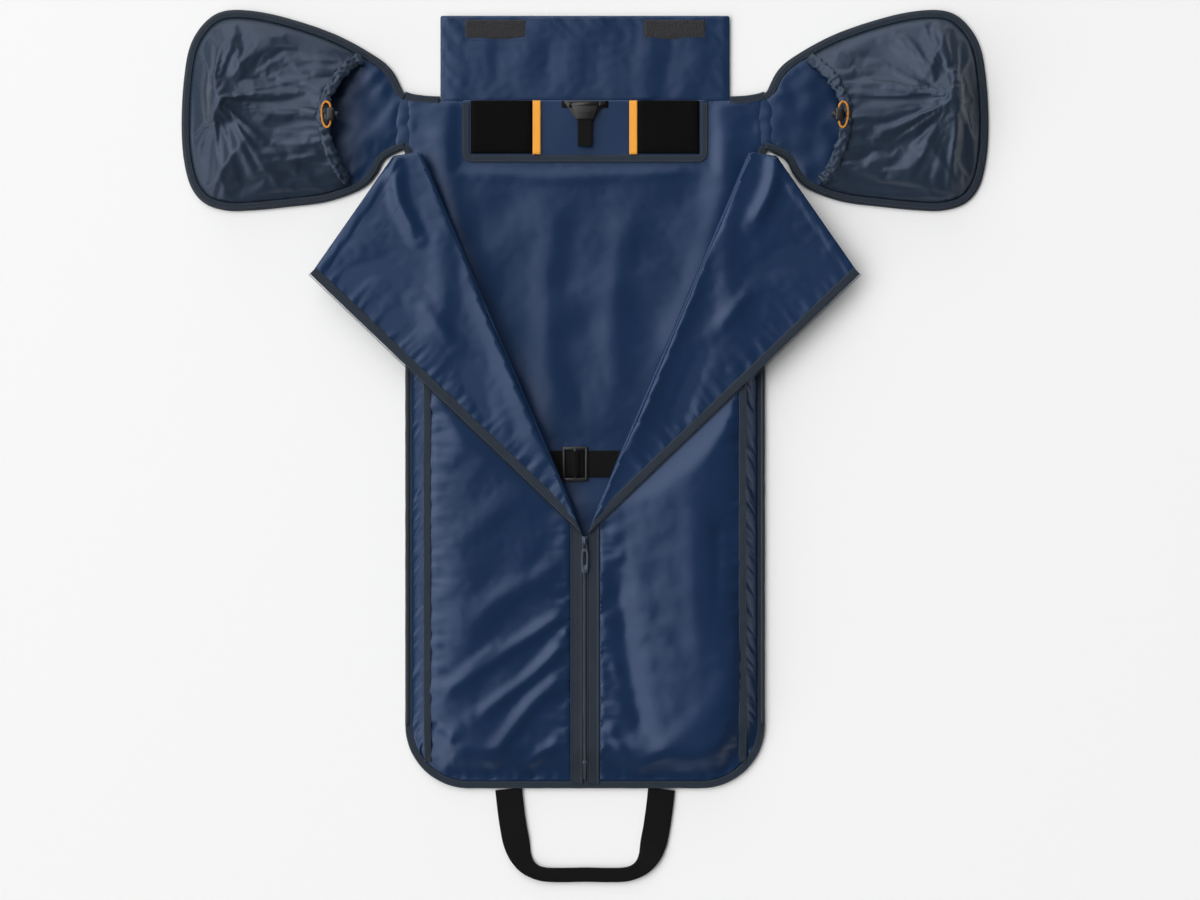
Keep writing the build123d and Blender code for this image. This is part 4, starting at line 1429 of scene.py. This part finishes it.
def make_slider():
    """The slider's body and its bridge, and the pull."""
    lo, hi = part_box("zip_slider")
    mid_y = (lo[1] + hi[1]) / 2
    body = hard_box(
        "slider_body", lo, (hi[0], hi[1], lo[2] + 0.0022), finish_of["metal"], "zip_slider", 0.0009,
        taper=lambda x, y, z: (x * (0.72 + 0.28 * (y - lo[1]) / (hi[1] - lo[1])), y, z),
    )
    bridge_line = [
        (
            0, mid_y + 0.0055, lo[2] + 0.001
        ), (0, mid_y + 0.005, hi[2] - 0.0008), (0, mid_y + 0.002, hi[2] + 0.0004),
        (
            0, mid_y - 0.002, hi[2] + 0.0004
        ), (0, mid_y - 0.005, hi[2] - 0.0008), (0, mid_y - 0.0055, lo[2] + 0.001),
    ]
    path = smooth_line(bridge_line, 0.001)
    rings = []
    bridge_section = bar_section(0.0034, 0.0011, 3.0, 12)
    around = len(bridge_section)
    for k, p in enumerate(path):
        run = path[min(k + 1, len(path) - 1)] - path[max(k - 1, 0)]
        run /= np.linalg.norm(run)
        up = np.cross((1.0, 0, 0), run)
        for a, b in bridge_section:
            rings.append(p + np.array((a, 0, 0)) + up * b)
    faces = grid(len(path), around, closed=True)
    faces += [tuple(range(around)), tuple((len(path) - 1) * around + j for j in range(around))]
    bridge = make_piece("slider_bridge", rings, faces, finish_of["metal"], "zip_slider")
    outward(bridge)
    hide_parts("zip_slider")
    pull_lo, pull_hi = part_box("zip_pull")
    make_pull(pull_lo, pull_hi, joints["pull_swing"]["pos_m"])


def make_pull(lo, hi, pivot):
    """A moulded tab with a long slot, hung from a small loop."""
    tab_top = pivot[1] - 0.010
    half = (hi[0] - lo[0]) / 2
    thick = 0.0024
    outer, inner = [], []
    steps = 40
    for k in range(steps):
        a = 2 * pi * k / steps
        c, s = cos(a), sin(a)
        cy, hl = (lo[1] + tab_top) / 2, (tab_top - lo[1]) / 2
        outer.append((half * abs(c) ** 0.45 * np.sign(c), cy + hl * abs(s) ** 0.45 * np.sign(s)))
        inner.append((
            0.0021 * abs(c) ** 0.6 * np.sign(c),
            cy + 0.0035 + (hl - 0.0085) * abs(s) ** 0.35 * np.sign(s)
        ))
    z0 = pivot[2] - thick / 2
    levels = [(outer, z0 + 0.0004, 0.94), (outer, z0 + 0.0009, 1.0), (outer, z0 + thick - 0.0009, 1.0),
              (outer, z0 + thick - 0.0003, 0.95), (outer, z0 + thick, 0.86), (inner, z0 + thick, 1.15),
              (
                  inner, z0 + thick - 0.0006, 1.0
              ), (inner, z0 + 0.0006, 1.0), (inner, z0, 1.15), (outer, z0, 0.86)]
    verts = [(x * s, y, z) for ring, z, s in levels for x, y in ring]
    faces = grid(len(levels), steps, closed=True)
    last = (len(levels) - 1) * steps
    faces += [(last + k, last + (k + 1) % steps, (k + 1) % steps, k) for k in range(steps)]
    tab = make_piece("pull_tab", verts, faces, finish_of["pull"], "zip_pull")
    outward(tab)
    loop_half = [(-0.0024, tab_top - 0.001), (-0.0026, pivot[1] - 0.004), (-0.0020, pivot[1] + 0.0004)]
    loop_flat = loop_half + [(0, pivot[1] + 0.0015)] + [(-x, y) for x, y in loop_half[::-1]]
    loop = smooth_line([(*p, pivot[2]) for p in loop_flat], 0.0008)
    ring = sweep(
        "pull_loop", loop, bar_section(0.0014, 0.0014, 2.0, 10), finish_of["metal"], "zip_pull"
    )
    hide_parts("zip_pull")


# ---- Lapels --------------------------------------------------------------------------------------
def mirrored(points, sign):
    """The points as they are for the left, mirrored for the right."""
    out = np.array(points, float)
    if sign > 0:
        out[:, 0] *= -1
    return out


LAPEL_STEP = 0.006


def lapel_edge_line(inset):
    """A line along the lapel's zip edge, tip to foot, at an inset from the edge."""
    x = -ZIP_GAP_HALF - inset
    ys = np.arange(front_top_y, fold_foot.y + 0.003, -LAPEL_STEP)
    return np.array([folded(x, y) for y in ys])


rested_lapel = {}


def make_lapels():
    for side, sign in SIDES:
        key = f"lapel_{side}"
        points = kept_near(rested[key], cuts[key]["base"], 0.012, 0.0009)
        points[:, 2] = np.maximum(points[:, 2], lapel_z + 0.0006)
        rested_lapel[side] = points
        piece = cloth_piece(f"lapel_cloth_{side}", key, points, finish_of["navy"], key)
        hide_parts(key, f"loop_patch_{side}")
        closed_size = (-fold_x(front_top_y) - tape_edge, front_top_y - fold_y(-tape_edge))
        declare_sheet(points, closed_size)
        centre = lapel_edge_line(0.0075)
        lift = np.array([lapel_z + 0.0014 + 0.0007 * hum(p[0], p[1], 0.03, 6) for p in centre])
        line = mirrored(np.column_stack([centre, lift]), sign)
        whole = (len(centre) - 1) * LAPEL_STEP
        zip_edge = -sign * 0.007
        narrowing = fold_dir.x / -fold_dir.y

        def wavy(k, along, a, b):
            keep = min(1.0, max((whole - along) * narrowing / 0.014 + 0.12, 0.12))
            a = zip_edge - (zip_edge - a) * keep
            return a + 0.0003 * hum(along, 0, 0.02, 31), b + 0.0004 * hum(along, a, 0.012, 33)

        tape = sweep(
            f"lapel_tape_{side}", smooth_line(line, 0.004), bar_section(0.0128, 0.0030, 4.0, 18),
            finish_of["slate"], key, ruffle=wavy,
        )
        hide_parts(f"lapel_zip_{side}")
        edge = lapel_edge_line(-0.0006)
        teeth_line = mirrored(np.column_stack([edge, np.full(len(edge), lapel_z + 0.0012)]), sign)
        teeth = rows_along(
            f"lapel_teeth_{side}", [smooth_line(teeth_line, 0.01)], "stitch", 0.0014,
            (0.0010, 0.0022, 0.0018), finish_of["coil"], key,
        )
        make_roll(side, sign)


def make_roll(side, sign):
    """The soft turn of cloth along the lapel's fold, from the front panel over to the lapel."""
    length = (Vector((
        fold_line_xy[1][0], fold_line_xy[1][1], 0
    )) - Vector((fold_foot.x, fold_foot.y, 0))).length
    rows, around = int(length / 0.004), 11
    verts, uv = [], []
    for r in range(rows + 1):
        s = r / rows * (length - 0.016) + 0.014
        taper = min(1.0, (s / 0.05)) * (0.85 + 0.2 * hum(s, 0, 0.06, 12 + sign))
        centre = Vector((fold_foot.x, fold_foot.y, fold_foot.z)) + fold_dir * s
        for k in range(around):
            a = -pi / 2 + pi * k / (around - 1)
            out = fold_in * (ROLL_R * taper * cos(a) * 1.1 - 0.0004) + Vector((
                0, 0, ROLL_R * taper * sin(a)
            ))
            point = centre + out
            verts.append((point.x * (1 if sign < 0 else -1), point.y, point.z))
            uv.append((s, ROLL_R * a))
    faces = grid(rows + 1, around)
    if sign < 0:
        faces = [f[::-1] for f in faces]
    roll = make_piece(f"lapel_roll_{side}", verts, faces, finish_of["navy"], None, uv)
    thicken(roll, 0.0007)
    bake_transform(roll)


rested_flap = kept_near(rested["flap"], cuts["flap"]["base"], 0.004, 0.0006)


# ---- Top flap ------------------------------------------------------------------------------------
HOOK_GAP = 0.0016  # net of the hook tape


def hook_outline(sign, margin):
    """A hook patch's corners, with a margin round them."""
    middle, half = sign * (hook_hi[0] - HOOK_LONG / 2), HOOK_LONG / 2 + margin
    low, high = hook_lo[1] - margin, hook_hi[1] + margin
    return [(middle - half, low), (middle + half, low), (middle + half, high), (middle - half, high)]


def make_flap():
    """The top flap, with its two patches of hook tape."""
    piece = cloth_piece("flap_cloth", "flap", rested_flap, finish_of["navy"], None, 0.0030)
    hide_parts("top_flap", "flap_lining")
    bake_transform(piece)
    declare_sheet(rested_flap)
    for side, sign in SIDES:
        outline = hook_outline(sign, 0.0)
        flat, faces = cut_cloth(outline, HOOK_GAP)
        rng = np.random.default_rng(5 + sign)
        fuzz = rng.uniform(0, 0.0009, len(flat))
        high = np.full(len(flat), 0.0062) + 0.0004 * hum_all(flat, 0.03, 3)
        edge = from_line(flat, evenly(outline, HOOK_GAP, closed=True))
        z = np.where(edge < 0.002, high - 0.0008, high + fuzz)
        patch = make_piece(
            f"hook_patch_{side}", np.column_stack([flat, z]), faces, finish_of["hooks"], "flap", uv=flat, smooth=False,
        )
        thicken(patch, 0.0016)
    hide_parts("hook_patches")


# ---- Hanger panel, pockets and clip --------------------------------------------------------------
def make_hanger_panel():
    """The panel behind the clip and its binding. Returns the binding's rows of stitches."""
    lo, hi = hanger_lo, hanger_hi
    r = 0.014
    outline = [(lo[0], hi[1])] + arc(lo[0] + r, lo[1] + r, r, 180, 270, 6)
    outline += arc(hi[0] - r, lo[1] + r, r, 270, 360, 6) + [(hi[0], hi[1])]
    flat, faces = cut_cloth(outline, 0.006)
    z = 0.0058 + 0.0003 * hum_all(flat, 0.05, 2)
    panel = make_piece(
        "hanger_panel_cloth", np.column_stack([flat, z]), faces, finish_of["navy"], "bag", uv=flat
    )
    thicken(panel, 0.0012, levels=1)
    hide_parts("hanger_panel")
    half = 0.005
    middle = [(lo[0] + half, hi[1] - 0.004)] + arc(lo[0] + r, lo[1] + r, r - half, 180, 270, 8)
    middle += arc(hi[0] - r, lo[1] + r, r - half, 270, 360, 8) + [(hi[0] - half, hi[1] - 0.004)]
    line = lay(evenly(middle, 0.004), 0.0060)
    tape = sweep(
        "panel_binding_tape", line, bar_section(0.0105, 0.0024, 4.0), finish_of["slate"], "bag"
    )
    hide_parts("panel_binding")
    return [beside(line, out, 0.0014) for out in (-0.0034, 0.0034)]


def make_pockets():
    """Elastic pockets, open at the top, and the amber tape beside each."""
    for side, sign in SIDES:
        lo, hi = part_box(f"elastic_pocket_{side}")
        across, up = 36, 24
        verts, uv = [], []
        for r in range(up + 1):
            y = lo[1] + (hi[1] - lo[1]) * r / up
            for c in range(across + 1):
                t = c / across
                x = lo[0] + (hi[0] - lo[0]) * t
                edge = min(t, 1 - t) * (hi[0] - lo[0])
                foot = (y - lo[1])
                rise = (1 - exp(-edge / 0.003)) * (1 - exp(-foot / 0.003))
                slack = 0.0008 * hum(x, y, 0.03, 8 + sign)
                verts.append((x, y, 0.0072 + rise * (0.0026 + 0.0012 * r / up + slack)))
                uv.append((x, y))
        pocket = make_piece(
            f"elastic_cloth_{side}", verts, grid(up + 1, across + 1), finish_of["elastic"], "bag", uv
        )
        thicken(pocket, 0.0010)
        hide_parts(f"elastic_pocket_{side}")
    lo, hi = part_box("pocket_edgings")
    strips, rows = [], []
    for side, sign in SIDES:
        mid = sign * (hi[0] - 0.0055)
        y = np.arange(lo[1] - 0.001, hi[1] + 0.002, 0.004)
        line = np.column_stack([np.full(len(y), mid), y, np.full(len(y), 0.0088)])

        def wavy(k, along, a, b):
            return a, b + 0.0002 * hum(along, a, 0.01, 6 + sign)

        strip = sweep(
            f"amber_edging_{side}", line, bar_section(0.0112, 0.0016, 4.0), finish_of["amber"], "bag",
            ruffle=wavy
        )
        strips.append(strip)
        rows += [beside(line, out, 0.0010) for out in (-0.0042, 0.0042)]
    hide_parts("pocket_edgings")
    stitches = rows_along(
        "amber_stitches", rows, "stitch", 0.0032, (0.0022, 0.0005, 0.0005), finish_of["amber"], "bag"
    )


def make_clip():
    """The hanger clip: a moulded base with ears, a lever on its pin and a strap to pull it."""
    lo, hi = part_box("clip_anchor_tape")
    y = (lo[1] + hi[1]) / 2
    line = np.column_stack([np.linspace(lo[0], hi[0], 18), np.full(18, y), np.full(18, lo[2] + 0.0012)])
    anchor = sweep(
        "anchor_webbing", line, bar_section(hi[1] - lo[1], 0.0018, 4.0), finish_of["webbing"], "bag"
    )
    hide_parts("clip_anchor_tape")
    lo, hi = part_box("clip_base")
    tip_half = 0.012

    def narrowing(half):
        return lambda x, y, z: (
            x / half * (tip_half + (half - tip_half) * (y - lo[1]) / (hi[1] - lo[1])), y, z
        )

    base = [
        hard_box("clip_plate", lo, (hi[0], hi[1], lo[2] + 0.0024), finish_of["plastic"], "bag", 0.0008,
                 taper=narrowing(hi[0]))
    ]
    pin_lo, pin_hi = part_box("clip_pin")
    ear_y, ear_z = (pin_lo[1] + pin_hi[1]) / 2, (pin_lo[2] + pin_hi[2]) / 2
    for sign in (-1, 1):
        outer = sign * pin_hi[0]
        base.append(
            turned(f"ear_{sign}", (outer - sign * 0.0030, ear_y, ear_z), (sign, 0, 0),
                   [
                       (0, 0.0022), (0.0002, 0.0033), (0.0028, 0.0033), (0.0032, 0.0026)
                   ], finish_of["plastic"], "bag")
        )
        base.append(
            hard_box(f"ear_foot_{sign}", (
                min(outer, outer - sign * 0.003), ear_y - 0.004, lo[2] + 0.001
            ),
                     (
                         max(outer, outer - sign * 0.003), ear_y + 0.004, ear_z + 0.0004
                     ), finish_of["plastic"], "bag", 0.0007)
        )
    clip = joined(base)
    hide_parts("clip_base")
    lo_l, hi_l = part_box("hanger_lever")
    half = hi_l[0]
    lever_lo_y = lo_l[1]

    def lever_taper(x, y, z):
        share = min(max((y - lever_lo_y) / (ear_y - lever_lo_y), 0), 1)
        return (x / half * (tip_half + (half - tip_half) * share), y, z + 0.0010 * sin(pi * share))

    parts = [
        hard_box("lever_plate", (-half, lever_lo_y, ear_z), (
            half, ear_y, ear_z + 0.0024
        ), finish_of["plastic"], "hanger_lever",
                 0.0009, taper=lever_taper),
        turned("lever_knuckle", (-half, ear_y, ear_z), (1, 0, 0),
               [
                   (0, 0.0026), (0.0004, 0.0033), (2 * half - 0.0004, 0.0033), (2 * half, 0.0026)
               ], finish_of["plastic"], "hanger_lever"),
    ]
    for k in range(4):
        ridge_y = lever_lo_y + 0.003 + 0.0022 * k
        parts.append(
            hard_box(f"grip_ridge_{k}", (-0.010, ridge_y, ear_z + 0.0020), (
                0.010, ridge_y + 0.0010, ear_z + 0.0033
            ),
                     finish_of["plastic"], "hanger_lever", 0.0004, 2)
        )
    lever = joined(parts)
    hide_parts("hanger_lever")
    s_lo, s_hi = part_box("clip_strap")
    top = s_hi[1] + 0.004
    y = np.arange(s_lo[1], top, 0.003)
    z = np.array([ear_z + 0.0007 - 0.0012 * sin(pi * (v - s_lo[1]) / (top - s_lo[1])) for v in y])
    strap = sweep("clip_webbing", np.column_stack([np.zeros(len(y)), y, z]),
                  bar_section(s_hi[0] - s_lo[0], 0.0016, 5.0), finish_of["webbing"], "hanger_lever")
    hem_y = np.arange(s_lo[1] - 0.0006, s_lo[1] + 0.0085, 0.0015)
    hem = sweep("clip_strap_hem", np.column_stack([
        np.zeros(len(hem_y)), hem_y, np.full(len(hem_y), ear_z + 0.0020)
    ]),
                bar_section(s_hi[0] - s_lo[0], 0.0016, 5.0), finish_of["webbing"], "hanger_lever")
    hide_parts("clip_strap")


def make_strap():
    """The compression strap across the inside, and its three-bar buckle."""
    y = (strap_lo[1] + strap_hi[1]) / 2
    x = np.arange(strap_lo[0] + 0.003, strap_hi[0] - 0.003, 0.005)
    z = np.array([0.0062 + 0.0004 * hum(v, 0, 0.05, 3) for v in x])
    strap = sweep("strap_webbing", np.column_stack([x, np.full(len(x), y), z]),
                  bar_section(strap_hi[1] - strap_lo[1], 0.0018, 6.0), finish_of["webbing"], "bag")
    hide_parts("compression_strap")
    lo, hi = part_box("strap_buckle")
    low = 0.0062
    parts = []
    for end in (lo[1], hi[1] - 0.0050):
        parts.append(hard_box("rail", (lo[0], end, low - 0.0012), (
            hi[0], end + 0.0050, hi[2] + 0.0010
        ), finish_of["plastic"],
                              "strap_buckle", 0.0012))
    for k in range(3):
        at = lo[0] + (hi[0] - lo[0] - 0.0042) * k / 2
        parts.append(hard_box(f"bar_{k}", (at, lo[1] + 0.002, 0.0078), (
            at + 0.0042, hi[1] - 0.002, hi[2] + 0.0012
        ),
                              finish_of["plastic"], "strap_buckle", 0.0012))
    buckle = joined(parts)
    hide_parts("strap_buckle")
    mid = (lo[0] + hi[0]) / 2
    climb = [(-0.0125, 0.0078), (-0.0080, 0.0086), (-0.0040, 0.0106)]
    steps = climb + [(0, 0.0112)] + [(-a, b) for a, b in climb[::-1]]
    line = smooth_line([(mid + a, y, b) for a, b in steps], 0.001)
    over = sweep(
        "strap_over_bar", line, bar_section(0.0365, 0.0014, 6.0), finish_of["webbing"], "strap_buckle"
    )


def make_handle():
    """Webbing legs that fold double into the grip."""
    half = [
        (-0.1085, -0.4880), (-0.1055, -0.515), (-0.1020, -0.540), (-0.0975, -0.563), (-0.0915, -0.583), (-0.0820, -0.5975),
        (-0.0690, -0.6060), (-0.0540, -0.6095), (-0.0300, -0.6100), (0.0, -0.6095),
    ]
    path = smooth_line([(*p, 0.0024) for p in half + [(-x, y) for x, y in half[-2::-1]]], 0.003)
    along = np.concatenate([[0], np.cumsum(np.linalg.norm(np.diff(path, axis=0), axis=1))])
    whole = along[-1]

    def shaped(k, at, a, b):
        from_end = min(at, whole - at)
        double = float(ease((from_end - 0.070) / 0.065))
        width = 1 - 0.47 * double
        crown = (1 + 1.3 * double) * (0.45 + 0.55 * float(ease(from_end / 0.008)))
        twist = 0.0016 * sin(pi * float(ease((from_end - 0.06) / 0.08))) * (a / 0.019)
        return a * width, b * crown + twist + 0.0006 + 0.0010 * double

    handle = sweep(
        "handle_webbing", path, bar_section(0.038, 0.0022, 6.0, 30), finish_of["webbing"],
        "carry_handle", ruffle=shaped
    )
    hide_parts("carry_handle")
    rows = []
    for edge in (-0.0165, 0.0165):
        for part in (path[: len(path) // 6], path[-len(path) // 6 :]):
            rows.append(beside(part, edge, 0.0017))
    grip = path[int(len(path) * 0.36) : int(len(path) * 0.64)]
    rows.append(beside(grip, 0.0070, 0.0042))
    rows.append(beside(grip, -0.0070, 0.0042))
    stitches = rows_along(
        "handle_stitches", rows, "stitch", 0.0034, (0.0023, 0.0005, 0.0005), finish_of["webbing"],
        "carry_handle"
    )


def make_necks():
    """The lining's turn between the body and each duffel end."""
    low, high = 0.4215, 0.4915
    for side, sign in SIDES:
        verts, uv = [], []
        rows, cols = 36, 12
        for r in range(rows):
            y = low + (high - low) * r / (rows - 1)
            for c in range(cols):
                t = c / (cols - 1)
                x = 0.2430 + 0.0260 * t
                rim = sin(pi * t) ** 0.5 * sin(pi * r / (rows - 1)) ** 0.3
                z = 0.0048 + rim * (0.0012 + 0.0011 * hum(x * 0.5, y, 0.014, 15 + sign))
                verts.append((sign * x, y, z))
                uv.append((x, y))
        faces = grid(rows, cols)
        if sign < 0:
            faces = [f[::-1] for f in faces]
        neck = make_piece(f"neck_cloth_{side}", verts, faces, finish_of["navy"], None, uv)
        thicken(neck, 0.0005, levels=1)
        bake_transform(neck)


# ---- Duffel ends and shoe pouches ----------------------------------------------------------------
def make_wings():
    """The duffel ends: outer cloth, lining, binding, zip teeth and stitches."""
    for side, sign in SIDES:
        body = f"wing_{side}"
        outline = mirrored(inner_line(WING_LINE, 0.003), sign)
        outline[0, 0] = outline[-1, 0] = sign * -wing_axis_x
        panel = shaped_plate(f"wing_outer_{side}", outline, 0.0004, 0.0034, finish_of["shell"], body)
        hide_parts(f"wing_panel_{side}")
        points = kept_near(rested[f"wing_{side}"], cuts[f"wing_{side}"]["base"], 0.008, 0.0004)
        lining = cloth_piece(
            f"wing_lining_cloth_{side}", f"wing_{side}", points, finish_of["navy"], body, 0.0006
        )
        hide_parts(f"wing_lining_{side}")
        declare_sheet(
            points
        )

        def wavy(k, along, a, b):
            return a + 0.0003 * hum(along, 0, 0.02, 51 + sign), b * (
                1 + 0.15 * hum(along, a, 0.008, 53 + sign)
            )

        centre = lay(inner_line(WING_LINE, 0.0070), 0.0040)
        centre = np.vstack([[(-0.2554, 0.4935, 0.0040)], centre[1:-1], [(-0.2554, 0.4255, 0.0040)]])
        centre = smooth_line(mirrored(evenly(centre, 0.008), sign), 0.0035)
        tape = sweep(
            f"wing_tape_{side}", centre, bar_section(0.0092, 0.0062, 4.0), finish_of["slate"], body,
            ruffle=wavy
        )
        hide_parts(f"wing_binding_{side}")
        bed = sweep(f"wing_zip_bed_{side}", mirrored(lay(inner_line(WING_LINE, 0.0018), 0.0028), sign),
                    bar_section(0.0036, 0.0022, 3.0, 12), finish_of["coil"], body)
        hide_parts(f"wing_teeth_{side}")
        turns = rows_along(f"wing_zip_turns_{side}", [mirrored(
            lay(inner_line(WING_LINE, 0.0012), 0.0034), sign
        )], "stitch",
                           0.0019, (0.0014, 0.0028, 0.0022), finish_of["coil"], body)
        rows = [beside(centre, out, 0.0032) for out in (-0.0030, 0.0030)]
        stitches = rows_along(
            f"wing_stitches_{side}", rows, "stitch", SLATE_PITCH, SLATE_STITCH, finish_of["thread"],
            body
        )


def make_pouches():
    """The shoe pouches and their gathered hems."""
    for side, sign in SIDES:
        key = f"pouch_{side}"
        body = f"wing_{side}"
        points = rested[key].copy()
        points[:, 2] = np.clip(points[:, 2], 0.0048, 0.0785)
        pouch = cloth_piece(f"pouch_cloth_{side}", key, points, finish_of["pouch"], body, 0.0009)
        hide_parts(f"shoe_pouch_{side}")
        mouth = on_mouth(sign)

        def gathers(k, along, a, b):
            lump = hum(along, 0, 0.0085, 61 + sign) + 0.6 * hum(along, a, 0.0045, 63 + sign)
            sway = 0.0022 * hum(along, 0, 0.011, 66 + sign)
            return a * (1 + 0.42 * lump) + sway, b * (1.1 + 0.9 * lump) + 0.0012 * lump

        hem = sweep(
            f"pouch_hem_cloth_{side}", mouth, bar_section(0.0160, 0.0060, 2.4, 24), finish_of["pouch"],
            body, ruffle=gathers
        )
        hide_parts(f"pouch_hem_{side}")


def on_mouth(sign):
    """The line of a pouch's gathered hem."""
    ends = np.column_stack([MOUTH, pouch_height(MOUTH) + 0.0006])
    return smooth_line(mirrored(ends[::2], sign), 0.0018)


def make_locks():
    """Cord locks: a rounded block with a sprung plunger, on the pouch's hem."""
    for side, sign in SIDES:
        body = f"wing_{side}"
        lo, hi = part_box(f"cord_lock_{side}")
        block = hard_box(f"lock_block_{side}", lo, hi, finish_of["plastic"], body, 0.0030, 5)
        mid = [(a + b) / 2 for a, b in zip(lo, hi)]
        eyes = []
        for end in (-1, 1):
            eyes.append(
                turned(f"lock_eye_{side}_{end}", (
                    mid[0], mid[1] + end * (half_lock - 0.0012), mid[2]
                ), (0, end, 0),
                       [
                           (0, 0.0030), (0.0012, 0.0029), (0.0015, 0.0024), (0.0012, 0.0018),
                           (0.0002, 0.0017)
                       ],
                       finish_of["plastic"], body)
            )
        block = joined([block] + eyes)
        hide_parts(f"cord_lock_{side}")
        p_lo, p_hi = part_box(f"lock_plunger_{side}")
        inner = p_hi[0] if sign < 0 else p_lo[0]
        root = p_lo[0] if sign < 0 else p_hi[0]
        long = abs(inner - root)
        radius = (p_hi[1] - p_lo[1]) / 2
        button = turned(
            f"plunger_button_{side}", (root, mid[1], mid[2]), (-sign, 0, 0),
            [(0, radius * 0.9), (0.0004, radius), (long - 0.0042, radius), (
                long - 0.0040, radius * 0.94
            ), (long - 0.0034, radius),
             (
                 long - 0.0026, radius * 0.95
             ), (long - 0.0018, radius), (long - 0.0006, radius * 0.93), (long, radius * 0.8)],
            finish_of["plastic"], f"lock_plunger_{side}",
        )
        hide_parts(f"lock_plunger_{side}")


# ---- Stitching -----------------------------------------------------------------------------------
def on_cloth(line, points, up):
    """A flat line laid on a cloth's surface."""
    tree = KDTree(len(points))
    for k, p in enumerate(points):
        tree.insert((p[0], p[1], 0), k)
    tree.balance()
    out = []
    for p in line:
        found = tree.find_n((p[0], p[1], 0), 3)
        weights = np.array([1 / (f[2] + 1e-5) for f in found])
        z = sum(w * points[f[1]][2] for w, f in zip(weights, found)) / weights.sum()
        out.append((p[0], p[1], z + up))
    return np.array(out)


def make_stitches():
    """Slate thread on the tapes and bindings, navy thread on the flap and lapels."""
    slate_rows = list(binding_rows) + list(panel_rows)
    for side, sign in SIDES:
        seam = seam_line(sign)
        slate_rows += [beside(seam, out, 0.0010) for out in (-0.0045, 0.0045)]
        for out in (0.0066, 0.0178):
            slate_rows.append(zip_centre(high=fold_y(-out) - 0.004) + np.array((sign * out, 0, 0.0011)))
    body = rows_along(
        "body_stitches", slate_rows, "stitch", SLATE_PITCH, SLATE_STITCH, finish_of["thread"], "bag"
    )
    inset = 0.006
    frame_line = [(flap_lo[0] + inset, flap_lo[1] + 0.004), (flap_lo[0] + inset, flap_hi[1] - inset),
                  (flap_hi[0] - inset, flap_hi[1] - inset), (flap_hi[0] - inset, flap_lo[1] + 0.004)]
    rows = [on_cloth(evenly(frame_line, 0.004), rested_flap, 0.0006)]
    for sign in (-1, 1):
        corners = hook_outline(sign, 0.002)
        rows.append(on_cloth(evenly(corners + corners[:1], 0.004), rested_flap, 0.0006))
    flap = rows_along(
        "flap_stitches", rows, "stitch", NAVY_PITCH, NAVY_STITCH, finish_of["navy_thread"], "flap"
    )
    for side, sign in SIDES:
        points = rested_lapel[side]
        tip, high = lapel_line[1], lapel_line[2]
        run = np.array(high) - np.array(tip)
        run /= np.linalg.norm(run)
        inward = np.array((run[1], -run[0]))
        hem = [
            np.array(tip) + inward * 0.0125 + run * 0.010,
            np.array(high) + inward * 0.0125 - run * 0.012
        ]
        patch_mid = np.array(folded(-0.127, front_top_y - 0.014))
        ring = [patch_mid + run * a + inward * b for a, b in
                (
                    (-0.0435, -0.0115), (0.0435, -0.0115), (0.0435, 0.0155), (-0.0435, 0.0155),
                    (-0.0435, -0.0115)
                )]
        rows = [on_cloth(mirrored(evenly(part, 0.004), sign), points, 0.0006) for part in (hem, ring)]
        sewn = rows_along(
            f"lapel_stitches_{side}", rows, "stitch", NAVY_PITCH, NAVY_STITCH, finish_of["navy_thread"],
            f"lapel_{side}"
        )
        tape_rows = []
        for out in (0.0022, 0.0125):
            row = lapel_edge_line(out)[: -8 if out > 0.01 else None]
            tape_rows.append(mirrored(
                np.column_stack([row, np.full(len(row), lapel_z + 0.0032)]), sign
            ))
        taped = rows_along(
            f"lapel_tape_stitches_{side}", tape_rows, "stitch", SLATE_PITCH, SLATE_STITCH,
            finish_of["thread"], f"lapel_{side}"
        )


# ---- Make everything -----------------------------------------------------------------------------
make_fronts()
make_back()
make_shell()
binding_rows = make_body_binding()
make_side_zips()
make_gussets()
make_seam_bands()
make_front_zip()
make_slider()
make_lapels()
make_flap()
panel_rows = make_hanger_panel()
make_pockets()
make_clip()
make_strap()
make_handle()
make_necks()
make_wings()
make_pouches()
make_locks()
make_stitches()
